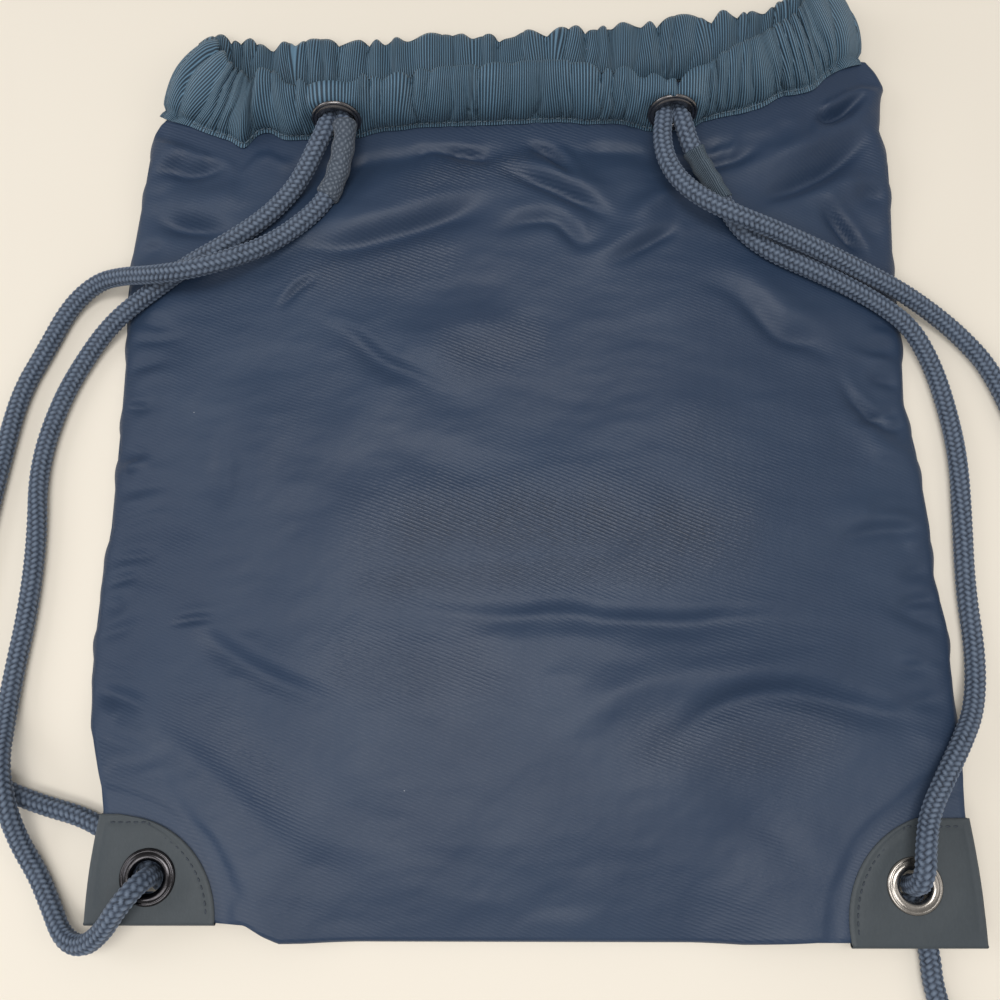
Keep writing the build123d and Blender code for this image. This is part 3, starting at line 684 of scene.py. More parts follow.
# the channel, back, its rim and the seam hidden below it
BACK_RIM = [
    (-148.0, 181.0), (-140.7, 187.0), (-134.6, 184.9), (-129.7, 182.9), (-124.5, 184.9), (-119.0, 181.5), (-113.5, 177.5),
    (-109.5, 182.2), (-105.3, 181.1), (-102.9, 179.5), (-98.9, 182.9), (-89.4, 183.6), (-81.6, 181.9), (-74.0, 184.2),
    (-69.8, 182.9), (-66.3, 184.6), (-62.0, 180.9), (-57.4, 185.2), (-51.4, 181.9), (-42.0, 186.5), (-32.4, 185.6),
    (-26.5, 186.9), (-21.7, 184.2), (-15.8, 187.6), (-7.5, 184.9), (-2.7, 184.9), (3.2, 189.2), (11.5, 185.6),
    (18.7, 189.6), (25.9, 191.0), (33.0, 188.7), (39.6, 191.7), (43.1, 190.3), (48.0, 193.4), (55.6, 190.3),
    (60.5, 193.0), (64.6, 191.7), (72.5, 196.4), (83.2, 195.8), (88.5, 193.0), (94.7, 199.9), (101.2, 196.4),
    (106.7, 199.9), (113.1, 197.1), (120.0, 202.6), (126.0, 205.5), (133.0, 208.0), (140.0, 209.0)]

EYES_TOP = [(-79.6, 131.7, 31.0), (65.5, 134.8, 31.2)]
EYE_N = np.array([0.0, -0.98481, 0.17365])
EYES_LOW = [(-144.3, -181.3), (149.9, -184.5)]
SEAM = [(r[0][0], r[0][1], r[0][2]) for r in FRONT_ROWS[3:41]]
SEAM_X = np.array([s[0] for s in SEAM])
SEAM_Y = np.array([s[1] for s in SEAM])
SEAM_Z = np.array([s[2] for s in SEAM])


def side_rise(y):
    return 8.5 * smooth((y - 45) / 95.0)


def lift(x, y):
    return smooth((np.abs(x) - 62) / 50) * smooth((-100 - y) / 50)


def arch(x, y):
    xl, xr = table(LEFT, y), table(RIGHT, y)
    u = np.clip((x - xl) / (xr - xl), 0, 1)
    return 1 - np.abs(2 * u - 1) ** 3


def z_back(x, y):
    return 11.0 * lift(x, y)


def z_front(x, y):
    return z_back(x, y) + 1.6 + table(CAVITY, y) * arch(x, y) * (1 - lift(x, y))


def stroke(x, y, points, amount, w1, w2=None, ends=0.25):
    """A ridge (amount over 0) or valley along a line. w1 and w2 are its widths on the line's left and right."""
    w2 = w1 if w2 is None else w2
    line = through(points, 6 * (len(points) - 1) + 1)
    best = np.full(x.shape, 1e9)
    signed = np.zeros(x.shape)
    along = np.zeros(x.shape)
    total = len(line) - 1
    lo, hi = line.min(0) - 4 * max(w1, w2), line.max(0) + 4 * max(w1, w2)
    near = (x > lo[0]) & (x < hi[0]) & (y > lo[1]) & (y < hi[1])
    if not near.any():
        return 0.0
    xs, ys = x[near], y[near]
    bb, ss, aa = best[near], signed[near], along[near]
    for k in range(total):
        a, b = line[k], line[k + 1]
        d = b - a
        l2 = float(d @ d)
        t = np.clip(((xs - a[0]) * d[0] + (ys - a[1]) * d[1]) / l2, 0, 1)
        dx, dy = xs - a[0] - t * d[0], ys - a[1] - t * d[1]
        dist = np.hypot(dx, dy)
        closer = dist < bb
        bb = np.where(closer, dist, bb)
        ss = np.where(closer, np.sign(d[0] * dy - d[1] * dx), ss)
        aa = np.where(closer, (k + t) / total, aa)
    w = np.where(ss > 0, w1, w2)
    fade = smooth(aa / ends) * smooth((1 - aa) / ends)
    out = np.zeros(x.shape)
    shape = np.exp(-((bb / w) ** 2))
    if amount < 0:  # the cloth pushed out of a valley stands up beside it
        shape = shape - 0.26 * np.exp(-(((bb - 2.0 * w) / (1.15 * w)) ** 2)) * (ss > 0)
    out[near] = amount * fade * shape
    return out


STROKES = [
    # (points, height, width on the left of the line, width on the right)
    ([(-103.8, 77.3), (-73.1, 77.3), (-32.3, 88.7), (-9.0, 99.0)], -2.6, 6, 9),
    ([(-110, 88), (-75, 90), (-40, 99), (-18, 110)], 1.6, 8, 6),
    ([(-60.6, 128.1), (-27.0, 122.6), (-9.0, 114.6)], -2.6, 4, 6),
    ([(-104.3, 46.8), (-94.6, 58.7), (-84.5, 63.5)], -1.8, 2.2, 3.5),
    ([(-93.5, 45.4), (-71.9, 36.2), (-58.0, 24.5), (-44.9, 17.7), (-18.6, 4.0)], -2.4, 3.5, 9),
    ([(-72, 45), (-50, 33), (-30, 24), (-8, 14)], 1.5, 8, 6),
    ([(-52.2, 34.0), (-25.8, 37.1), (2.0, 44.6)], 1.5, 8, 8),
    ([(-109.0, 24.1), (-107.9, -12.4), (-106.2, -55.1)], 1.8, 11, 11),
    ([(-126, 8), (-123, -22), (-124, -48)], -1.0, 8, 8),
    ([(-104.4, -49.6), (-49.5, -45.0), (5.2, -43.0), (114.9, -56.6)], 2.4, 20, 20),
    ([(-85.2, -74.2), (-40, -79.5), (-9.0, -82.5), (16.5, -81.1), (34.1, -83.7), (62.5, -84.6), (85.1, -82.9), (109.9, -84.3), (129.8, -86.9)], -2.4, 5, 9),
    ([(-145.5, -84.8), (-134, -82.5), (-120.4, -81.8)], -1.4, 2.5, 3),
    ([(-131.5, -83.3), (-120.5, -94.7), (-96.1, -107.5), (-62.5, -120.4)], -2.2, 6, 8),
    ([(-172.2, -99.4), (-137.8, -117.1), (-118.8, -130.8), (-97.5, -147.9), (-74.4, -169.1), (-44.9, -188.5)], 2.0, 12, 9),
    ([(-168.2, -112.4), (-140.8, -130.1), (-122.8, -142.8), (-103.5, -159.9), (-84.4, -179.1)], -1.0, 7, 8),
    ([(-171.8, -139.5), (-155.0, -152.9), (-141.9, -161.9), (-124.8, -170.1), (-112.4, -187.4), (-100.7, -204.1)], -2.0, 5, 5),
    ([(-19.0, -152.8), (16.1, -126.1), (41.5, -109.9), (69.5, -104.8), (96.6, -101.2), (124.5, -100.2), (165.0, -96.5)], 2.6, 7, 7),
    ([(37.0, -140.5), (61.3, -127.3), (79.1, -116.1), (102.8, -111.8), (131.5, -116.9), (158.8, -122.2), (176.9, -120.9)], -2.6, 6, 9),
    ([(23.4, -60.4), (33.4, -54.4), (53.1, -42.5), (64, -38)], 1.2, 7, 7),
    ([(122.2, -43.9), (148.3, -36.2), (171.1, -36.1)], 1.4, 5, 5),
    ([(125, -51), (150, -45), (172, -45)], -1.3, 4, 5),
    ([(70.4, 62.8), (92.6, 53.6), (108.5, 38.6), (125.7, 33.8), (137.9, 25.2)], -2.6, 8, 6),
    ([(84, 70), (104, 58), (120, 47), (140, 40)], 1.6, 7, 7),
    ([(129.4, 104.5), (143.6, 88.2), (153.6, 76.2)], -3.0, 4, 6),
    ([(131.6, 25.2), (144.0, 8.4), (158.5, 0.1), (169.4, 6.5)], -2.4, 3.5, 4),
    ([(128, 14), (140, 2), (156, -8), (168, -6)], 1.3, 4, 5),
    ([(172.7, 165.1), (150.9, 142.8), (134.4, 130.8), (111.0, 118.8), (82.7, 106.4)], 3.4, 6, 6),
    ([(125.3, 148.8), (136.5, 141.7), (147.8, 147.4), (162.4, 162.9)], -3.6, 4, 5),
    ([(160, 138), (140, 119), (118, 106), (96, 97)], -2.6, 5, 6),
    ([(160, 118), (142, 106), (124, 98)], 1.8, 5, 5),
    ([(-3.6, 131.5), (12.0, 121.0), (24.8, 103.8)], -2.4, 4, 4),
    ([(-14.0, 115.1), (4.9, 106.7), (26.9, 96.2), (43.3, 85.3)], -2.4, 4, 5),
    ([(-10, 124), (10, 113), (30, 104), (44, 98)], 1.4, 4, 4),
    ([(-12.0, 78.7), (-0.8, 85.8), (14.3, 87.2), (26.6, 77.0), (40.4, 82.2)], -1.8, 5, 5),
    ([(40.2, 84.8), (57.3, 96.5), (72.9, 105.1)], 1.9, 5, 4),
    ([(21.1, 64.7), (46.0, 81.3), (66.9, 97.3)], 1.6, 5, 5),
    ([(36, 66), (56, 78), (70, 86)], -1.5, 4, 4),
    ([(56, 122), (72, 116), (92, 118), (108, 126)], -2.2, 4, 5),
    ([(-163.3, 94.7), (-145.3, 89.7), (-122.6, 85.2)], -2.6, 6, 6),
    ([(-160, 108), (-138, 103), (-116, 104)], 1.8, 6, 6),
    ([(-164, 120), (-146, 116), (-126, 118)], -2.0, 5, 5),
    ([(-176.6, 10.7), (-156.1, 7.8)], -1.3, 2.5, 2.5), ([(-177.1, -15.2), (-162.8, -22.2)], -1.3, 2.5, 2.5),
    ([(-150, 40), (-146, 10), (-150, -30)], 1.3, 9, 9),
    ([(0, -150), (8, -170), (6, -196)], 0.9, 16, 16), ([(70, -150), (96, -164), (118, -186)], -1.4, 9, 12),
    ([(60, 20), (70, -6), (62, -30)], 0.9, 14, 14), ([(-60, -8), (-30, -22), (10, -26)], -1.0, 12, 12),
]


# bands where a highlight is painted into the navy cloth's colour (points, strength, widths); the cloth is also glossier
# there
PAINTED_HIGHLIGHT_BANDS = [
    ([(-84, -50), (-40, -46), (20, -44), (70, -48), (105, -55)], 1.0, 17, 17),
    ([(-80, -70), (-30, -66), (40, -62), (90, -66)], 0.8, 9, 9),
    ([(-110, 62), (-60, 66), (-20, 74)], 0.45, 10, 10),
    ([(-40, 22), (-10, 30), (14, 38)], 0.5, 10, 10),
    ([(-90, -96), (-40, -104), (0, -98)], 0.45, 14, 14),
    ([(30, -128), (80, -134), (140, -128)], 0.55, 14, 12),
    ([(-60, 100), (-20, 112), (10, 112)], 0.4, 8, 8),
    ([(-150, -108), (-110, -138), (-80, -168)], 0.25, 12, 12),
    ([(60, 5), (80, -20), (70, -40)], 0.3, 14, 14)]


def edge_puckers(x, y):
    """Short soft folds across both side seams."""
    out = np.zeros_like(x)
    r = np.random.default_rng(21)
    for side, rows in ((-1, LEFT), (1, RIGHT)):
        yy = -150.0
        while yy < 122:
            xe = float(table(rows, yy))
            length = r.uniform(14, 34)
            tilt = r.uniform(-0.45, 0.45)
            amp = r.uniform(0.6, 1.7) * r.choice([-1, -1, 1])
            w = r.uniform(2.0, 4.2)
            a = (xe + side * 4, yy - tilt * 4)
            m = (xe - side * length * 0.5, yy + tilt * length * 0.5)
            b = (xe - side * length, yy + tilt * length + r.uniform(-3, 3))
            out = out + stroke(x, y, [a, m, b], amp, w, w * r.uniform(0.8, 1.5), ends=0.45)
            yy += r.uniform(7, 15)
    return out


def gathers(x, y, ys):
    """Folds that run down from the gathered channel and die away."""
    below = ys - y
    r = np.random.default_rng(33)
    out = np.zeros_like(x)
    xx = -150.0
    while xx < 150:
        length = r.uniform(10, 34)
        amp = r.uniform(0.6, 2.0) * r.choice([-1.0, -0.8, 0.7])
        w = r.uniform(1.6, 3.6)
        lean = r.uniform(-0.35, 0.35) - 0.25 * (xx / 150.0)
        d = x - (xx + lean * below)
        out += amp * np.exp(-((d / w) ** 2)) * smooth(1 - below / length)
        xx += r.uniform(4.5, 10)
    return out


def cord_clearance(x, y, z, margin=0.25):
    """The cloth stays under the cords that lie on it."""
    zz = z.copy()
    flat_x, flat_y, flat_z = x.ravel(), y.ravel(), zz.ravel()
    pts = CORD_POINTS[CORD_POINTS[:, 2] > 5.0]
    for k in range(0, flat_x.size, 5000):
        s = slice(k, k + 5000)
        d = np.hypot(flat_x[s, None] - pts[None, :, 0], flat_y[s, None] - pts[None, :, 1])
        roof = pts[None, :, 2] - np.sqrt(np.clip((CORD_R + margin) ** 2 - d**2, 0, None)) + np.where(d > CORD_R + margin, (d - CORD_R - margin) * 1.2 + 0.0, 0.0)
        flat_z[s] = np.minimum(flat_z[s], roof.min(1))
    return flat_z.reshape(z.shape)


# ------------------------------------------------------------------ front panel

NX, NY = 250, 262


def panel_grid(nx, ny, top_y):
    s = np.linspace(0, 1, nx)
    t = np.linspace(0, 1, ny)
    T, S = np.meshgrid(t, s, indexing="ij")
    x = -170 + 340 * S
    y = -200 + 330 * T
    for _ in range(12):
        yb = np.interp(x, BOTTOM_X, BOTTOM_Y)
        yt = top_y(x)
        y = yb + (yt - yb) * T
        xl, xr = table(LEFT, y), table(RIGHT, y)
        x = xl + (xr - xl) * S
    return x, y, S, T


def front_top(x):
    return np.interp(x, SEAM_X, SEAM_Y) + 2.0


x, y, S, T = panel_grid(NX, NY, front_top)
rim_wave = 0.9 * np.sin(y / 5.2 + 0.8 * np.sin(y / 17.0)) + 0.6 * np.sin(y / 2.9 + 1.1)
edge_l, edge_r = np.clip(1 - S / 0.05, 0, 1), np.clip(1 - (1 - S) / 0.05, 0, 1)
x = x + (edge_r - edge_l) * rim_wave * 0.55 * (1 - lift(x, y))
base = z_front(x, y)
ys = np.interp(x, SEAM_X, SEAM_Y)
zs = np.interp(x, SEAM_X, SEAM_Z)
wrinkle = np.zeros_like(x)
for points, amount, w1, w2 in STROKES:
    k, grow = (1.25, 1.15) if amount > 0 else (1.25, 0.66)
    k = k * (1 + 0.40 * float(smooth((np.mean([q[1] for q in points]) - 45) / 40)))
    wrinkle = wrinkle + stroke(x, y, points, k * amount, grow * w1, grow * (w2 or w1), ends=0.42)
wrinkle = wrinkle + 1.15 * edge_puckers(x, y) + 1.3 * gathers(x, y, ys)
wrinkle += 1.5 * waves(x, y, 95, 3, 3) + 0.22 * waves(x, y, 22, 5, 2, (0.7, 1.3))
wrinkle += 0.07 * waves(x, y, 8, 9, 2)
edge_mm = np.minimum(x - table(LEFT, y), table(RIGHT, y) - x)
bead = 2.4 * (1 - np.exp(-np.clip(edge_mm, 0, None) / 2.2)) * (1 - lift(x, y))
below = ys - y
wrinkle -= (2.6 + 1.4 * waves(x, y, 46, 27, 2)) * np.exp(-(((below - 12) / 8.5) ** 2)) * smooth((120 - np.abs(x)) / 40)
calm = smooth(edge_mm / 9.0)
beside = np.minimum(smooth((np.hypot(x + 167, y + 198) - 48.5) / 9), smooth((np.hypot(x - 176, y + 206) - 53.5) / 9))
low_edge = smooth((y - np.interp(x, BOTTOM_X, BOTTOM_Y)) / 10.0)
z = base + bead + side_rise(y) * np.exp(-((np.clip(edge_mm, 0, None) / 16.0) ** 2)) + wrinkle * (0.25 + 0.75 * calm) * (1 - 0.97 * lift(x, y) * (1 - 0.8 * beside)) * (0.25 + 0.75 * low_edge) - 0.9 * beside * (1 - beside) * 4 * lift(x, y)
# the bottom edge is a fold; a weight for it is worked out here, but nothing uses it
zb = z_back(x, y)
fold = 1 - smooth((y - np.interp(x, BOTTOM_X, BOTTOM_Y)) / 3.5)
near_top = smooth((T - 0.90) / 0.10)
z = z + (zs - 0.8 - np.where(T > 0.9, base, base)) * near_top * smooth(edge_mm / 14.0)
tuck = smooth((T - 0.954) / 0.022) * smooth(edge_mm / 5.0)
z = z * (1 - tuck) + (zs - 0.3) * tuck
z = np.where(T > 0.985, np.minimum(z, zs - 0.2), z)
z = cord_clearance(x, y, z)
z = z * (1 - tuck) + (zs - 0.3) * tuck
z = np.maximum(z, zb + 0.9)
z = np.where((S == 0) | (S == 1), zb + 0.6 + side_rise(y), z)
z[0, :] = zb[0, :] + 0.6
keep = np.ones((NY - 1, NX - 1), bool)
xc = 0.25 * (x[:-1, :-1] + x[1:, :-1] + x[:-1, 1:] + x[1:, 1:])
yc = 0.25 * (y[:-1, :-1] + y[1:, :-1] + y[:-1, 1:] + y[1:, 1:])
for ex, ey in EYES_LOW:
    keep &= np.hypot(xc - ex, yc - ey) > 6.3
# the seam allowance goes up into the channel
P = np.stack([x, y + 2.6 * smooth((T - 0.984) / 0.012) * smooth((edge_mm - 6) / 14.0), z], 2)
drift = 0.0022 * waves(x, y, 190, 44, 2)
# the mask for the painted highlight and the extra gloss on the front panel
glint = np.zeros_like(x)
for points, amount, w1, w2 in PAINTED_HIGHLIGHT_BANDS:
    glint = np.maximum(glint, stroke(x, y, points, amount, w1, w2))
glint = glint * (0.75 + 0.25 * waves(x, y, 30, 17, 3))
front_cloth = grid("front_panel_cloth", P, x * MM + drift, y * MM + 0.8 * drift + 0.00004 * z, keep=keep, attrs={"glint": glint})
dress(front_cloth, NAVY)


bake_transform(front_cloth)
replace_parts(front_cloth, "front_panel", "front_panel_lower")
FRONT = (x, y, z)

# ------------------------------------------------------------------ back panel

BACK_SEAM = [(-165, 146), (-154, 150.5), (-135, 159.5), (-110, 161), (-60, 162.5), (0, 164.5), (60, 168.5), (100, 175), (130, 181.5), (146, 182), (163, 163)]


def back_top(x):
    return np.interp(x, [p[0] for p in BACK_SEAM], [p[1] for p in BACK_SEAM])


bx, by, BS, BT = panel_grid(150, 160, back_top)
b_edge = np.minimum(bx - table(LEFT, by), table(RIGHT, by) - bx)
bz = z_back(bx, by) + 0.45
inside = smooth(b_edge / 10) * smooth((by + 196) / 12) * (1 - lift(bx, by))
bz = bz + inside * (0.35 + 0.35 * waves(bx, by, 60, 12, 2)) + side_rise(by) * np.exp(-((np.clip(b_edge, 0, None) / 9.0) ** 2)) * smooth((170 - by) / 25)
keep = np.ones((159, 149), bool)
xc = 0.25 * (bx[:-1, :-1] + bx[1:, :-1] + bx[:-1, 1:] + bx[1:, 1:])
yc = 0.25 * (by[:-1, :-1] + by[1:, :-1] + by[:-1, 1:] + by[1:, 1:])
for ex, ey in EYES_LOW:
    keep &= np.hypot(xc - ex, yc - ey) > 6.3
back_cloth = grid("back_panel_cloth", np.stack([bx, by, bz], 2), bx * MM, by * MM, keep=keep)
dress(back_cloth, NAVY)
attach(back_cloth, "bag_base")
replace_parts(back_cloth, "back_panel")

# ------------------------------------------------------------------ the channel


def channel(name, low, high, outward, n_s, fold_seed, t_out, t_in, pinch, flat_spots=(), depth=1.0, rim=0.9, raise_=2.6):
    """A gathered tube of ribbed cloth between a lower seam and a rim.
    low, high: points along the seam and the rim; outward: a rough outward direction per station; pinch: how far the rim's dips go in."""
    lo = through(low, n_s)
    hi = through(high, n_s)
    out = through(outward, n_s)
    u = hi - lo
    H = np.linalg.norm(u, axis=1)
    u = u / H[:, None]
    n = out - (out * u).sum(1)[:, None] * u
    n /= np.linalg.norm(n, axis=1)[:, None]
    mid = (lo + hi) / 2
    seg = np.linalg.norm(np.diff(mid, axis=0), axis=1)
    s = np.r_[0, np.cumsum(seg)]
    # the rim's own dips and peaks
    crest = (hi * u).sum(1)
    k = max(3, int(26.0 / (s[-1] / n_s)))
    kernel = np.hanning(k) / np.hanning(k).sum()
    local = (hi - lo) @ np.array([0, 0, 0]) + H
    pad = np.r_[np.full(k, local[0]), local, np.full(k, local[-1])]
    res = local - np.convolve(pad, kernel, "same")[k:-k]
    vo = np.linspace(0, 1, 30) ** 0.9
    vi = np.linspace(1, 0, 16)[1:-1]
    r = np.random.default_rng(fold_seed)
    at, ats, deps, leans, kinds = -3.0, [], [], [], []
    while at < s[-1] + 10:
        ats.append(at)
        deps.append(depth * r.uniform(0.7, 2.1))
        leans.append(r.uniform(-4.5, 4.5))
        kinds.append(r.uniform(-0.9, 0.9))
        at += r.choice([r.uniform(4.0, 7.0), r.uniform(8.0, 14.5)])
    ats, deps, leans, kinds = (np.array(q) for q in (ats, deps, leans, kinds))

    def gather(v):
        """How far the cloth lies inside its own puffs: soft puffs between sharp folds."""
        c = np.maximum.accumulate(ats + leans * (v - 0.5) + 0.7 * np.sin(9.0 * v + ats))
        d = deps * np.clip(0.75 + kinds * (v - 0.5) * 1.6, 0.15, 1.5)
        i = np.clip(np.searchsorted(c, s, side="right") - 1, 0, len(c) - 2)
        gap = c[i + 1] - c[i]
        ph = np.clip((s - c[i]) / np.maximum(gap, 1e-6), 0, 1)
        dd = ((1 - ph) * d[i] + ph * d[i + 1]) * np.clip(gap / 6.0, 0.25, 1.15)
        valley = dd * (1 - np.abs(np.sin(math.pi * ph)) ** 0.66)
        valley = np.minimum(valley, 3.0 + 2.2 * float(abs(v - 0.55) > 0.3) * abs(v - 0.55))
        g = pinch * np.clip(res, -2.6, 2.0) * (0.30 + 0.70 * v) - valley
        g += 0.30 * np.sin(s / 1.9 + 1.3 * np.sin(s / 7.0)) * (1 - v) ** 1.5
        return g, valley

    rows, vs = [], []
    body = lambda q: np.sin(math.pi * np.clip(q, 0, 1)) ** 0.62
    for v in vo:
        lip = 0.9 * (1 - smooth(np.array((v - 0.86) / 0.14)))
        thick = lip + t_out * body((v - 0.09) / 0.91) - 0.55 * math.exp(-(((v - 0.085) / 0.022) ** 2))
        g, dip = gather(v)
        g = g * float(smooth(np.array(v / 0.12)) * 0.8 + 0.2) * (1 - 0.75 * float(smooth(np.array((v - 0.9) / 0.1))))
        dip = (rim * dip - raise_) * float(smooth(np.array((v - 0.5) / 0.5)))
        rows.append(lo + u * (H * v - dip)[:, None] + n * (thick + g)[:, None])
        vs.append(v)
    for v in vi:
        thick = -t_in * float(body(v))
        g, dip = gather(v)
        g = g * (1 - 0.75 * float(smooth(np.array((v - 0.9) / 0.1)))) * float(smooth(np.array(v / 0.15)))
        dip = (rim * dip - raise_) * float(smooth(np.array((v - 0.5) / 0.5)))
        rows.append(lo + u * (H * v - dip)[:, None] + n * (thick - 0.85 * g)[:, None])
        vs.append(2.0 - v)
    rows.append(lo + u * 0.25 - n * 0.35)
    p = np.stack(rows, 0)
    p[..., 2] = np.maximum(p[..., 2], 0.12)
    outer = np.zeros(p.shape[:2], bool)
    outer[: len(vo)] = True
    keep = np.ones((p.shape[0] - 1, p.shape[1] - 1), bool)
    for ex, ey, ez in flat_spots:
        e = np.array([ex, ey, ez])
        rel = p - e
        along = rel @ EYE_N
        across = np.linalg.norm(rel - along[..., None] * EYE_N, axis=2)
        w = smooth((17.5 - across) / 7.0) * outer
        w = w * smooth((9.0 - np.abs(along)) / 3.0) * smooth((e[2] + 12.5 - p[..., 2]) / 4.0)
        p = p - (w * (along + 0.12))[..., None] * EYE_N
        rel = p - e
        across = np.linalg.norm(rel - (rel @ EYE_N)[..., None] * EYE_N, axis=2)
        hole = (across < 6.2) & outer
        keep &= ~(hole[:-1, :-1] & hole[1:, 1:])
    m = (p[10, 1:] - p[10, :-1])
    du = np.r_[0, np.cumsum(np.linalg.norm(m, axis=1))]
    ring = p.transpose(1, 0, 2)  # rows along the channel, columns round it
    U = np.repeat(du[:, None] * MM, p.shape[0], 1)
    dv = np.r_[0, np.cumsum(np.linalg.norm(np.diff(p[:, n_s // 2], axis=0), axis=1))]
    V = np.repeat(dv[None, :] * MM, n_s, 0)
    slant = 5.0 * waves(s, np.zeros_like(s), 75.0, fold_seed + 60, 2) + 2.2 * waves(s, np.zeros_like(s), 24.0, fold_seed + 61, 2)
    U = U + MM * slant[:, None] * np.sin(math.pi * np.clip(dv[None, :] / dv[-1], 0, 1)) ** 2
    ob = grid(name, ring, U, V, keep=keep.T, flip=True)
    dress(ob, TEAL)
    return ob, lo, hi, u, n, s


low = [r[0] for r in FRONT_ROWS]
high = [r[1] for r in FRONT_ROWS]
outward = []
for k, (a, b) in enumerate(FRONT_ROWS):
    if k < 2:
        outward.append((-0.55, 0.1, -0.85))
    elif k == 2:
        outward.append((-0.95, 0.0, -0.25))
    elif k == 3:
        outward.append((-0.85, -0.1, 0.45))
    elif k == 4:
        outward.append((-0.55, -0.3, 0.75))
    elif k >= len(FRONT_ROWS) - 2:
        outward.append((0.55, 0.1, -0.85))
    elif k == len(FRONT_ROWS) - 3:
        outward.append((0.95, 0.0, -0.1))
    elif k == len(FRONT_ROWS) - 4:
        outward.append((0.85, -0.1, 0.5))
    elif k == len(FRONT_ROWS) - 5:
        outward.append((0.50, -0.3, 0.75))
    else:
        outward.append((0.0, -0.70, 0.70))
front_channel, f_lo, f_hi, f_u, f_n, f_s = channel(
    "front_channel", low, high, outward, 900, 5, 5.8, 4.6, 0.9, EYES_TOP, depth=2.0)
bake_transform(front_channel)
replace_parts(front_channel, "front_band")

b_high = [(bxx, byy, 8.6 + 0.8 * math.sin(bxx / 9.0)) for bxx, byy in BACK_RIM]
rim_mean = np.interp([p[0] for p in b_high], [-148, -100, -50, 0, 50, 100, 140], [183, 181.5, 184, 187.5, 192, 198.5, 208.5])
b_low = [(p[0] * 0.985, m - 25.5, 3.2) for p, m in zip(b_high, rim_mean)]
b_out = [(0.0, 0.25, -0.95)] * len(b_high)
back_channel, b_lo, b_hi, b_u, b_n, b_s = channel(
    "back_channel", b_low, b_high, b_out, 760, 15, 3.0, 5.6, 0.8, depth=2.1, rim=0.75, raise_=3.2)
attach(back_channel, "bag_base")
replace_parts(back_channel, "back_band")

def channel_braid(name, node_names, lo, hi, body, across, back, n, first, last):
    """The cord's two runs inside a channel, pressed a little thinner."""
    for k, (node_name, side) in enumerate(zip(node_names, (1, -1))):
        u = hi - lo
        H = np.linalg.norm(u, axis=1)[:, None]
        mid = lo + u * 0.56 + side * across * u / H - n * back
        mid = mid[first:last]
        d = np.r_[0, np.cumsum(np.linalg.norm(np.diff(mid, axis=0), axis=1))]
        knots = np.linspace(0, d[-1], 26)
        mid = np.stack([np.interp(knots, d, mid[:, c]) for c in range(3)], 1)
        mid[1:-1] = (mid[:-2] + 2 * mid[1:-1] + mid[2:]) / 4
        ob, _ = braided(f"{name}_{k + 1}", through(mid, 300), radius=2.05, sides=20, spacing=0.9, narrow=None)
        if body:
            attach(ob, body)
        else:
            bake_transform(ob)
        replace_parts(ob, node_name)


channel_braid("channel_braid_front", ("channel_cord_front_1", "channel_cord_front_2"), f_lo, f_hi, None, 3.2, 0.3, f_n, 107, 734)
channel_braid("channel_braid_back", ("channel_cord_back_1", "channel_cord_back_2"), b_lo, b_hi, "bag_base", 3.2, 0.0, b_n, 24, 724)

# thread along the front channel's seam
segments = []
at = 42.0
while at < f_s[-1] - 40:
    a = np.array([np.interp(at, f_s, f_lo[:, k]) for k in range(3)])
    b = np.array([np.interp(at + 1.9, f_s, f_lo[:, k]) for k in range(3)])
    u0 = np.array([np.interp(at, f_s, f_u[:, k]) for k in range(3)])
    n0 = np.array([np.interp(at, f_s, f_n[:, k]) for k in range(3)])
    off = u0 * 1.9 + n0 * 1.15
    segments.append((a + off, b + off + 0.25 * u0, n0))
    at += 2.6
seam_thread = join_capsules("seam_thread", segments, 0.27)
dress(seam_thread, THREAD)
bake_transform(seam_thread)

# ------------------------------------------------------------------ corner patches


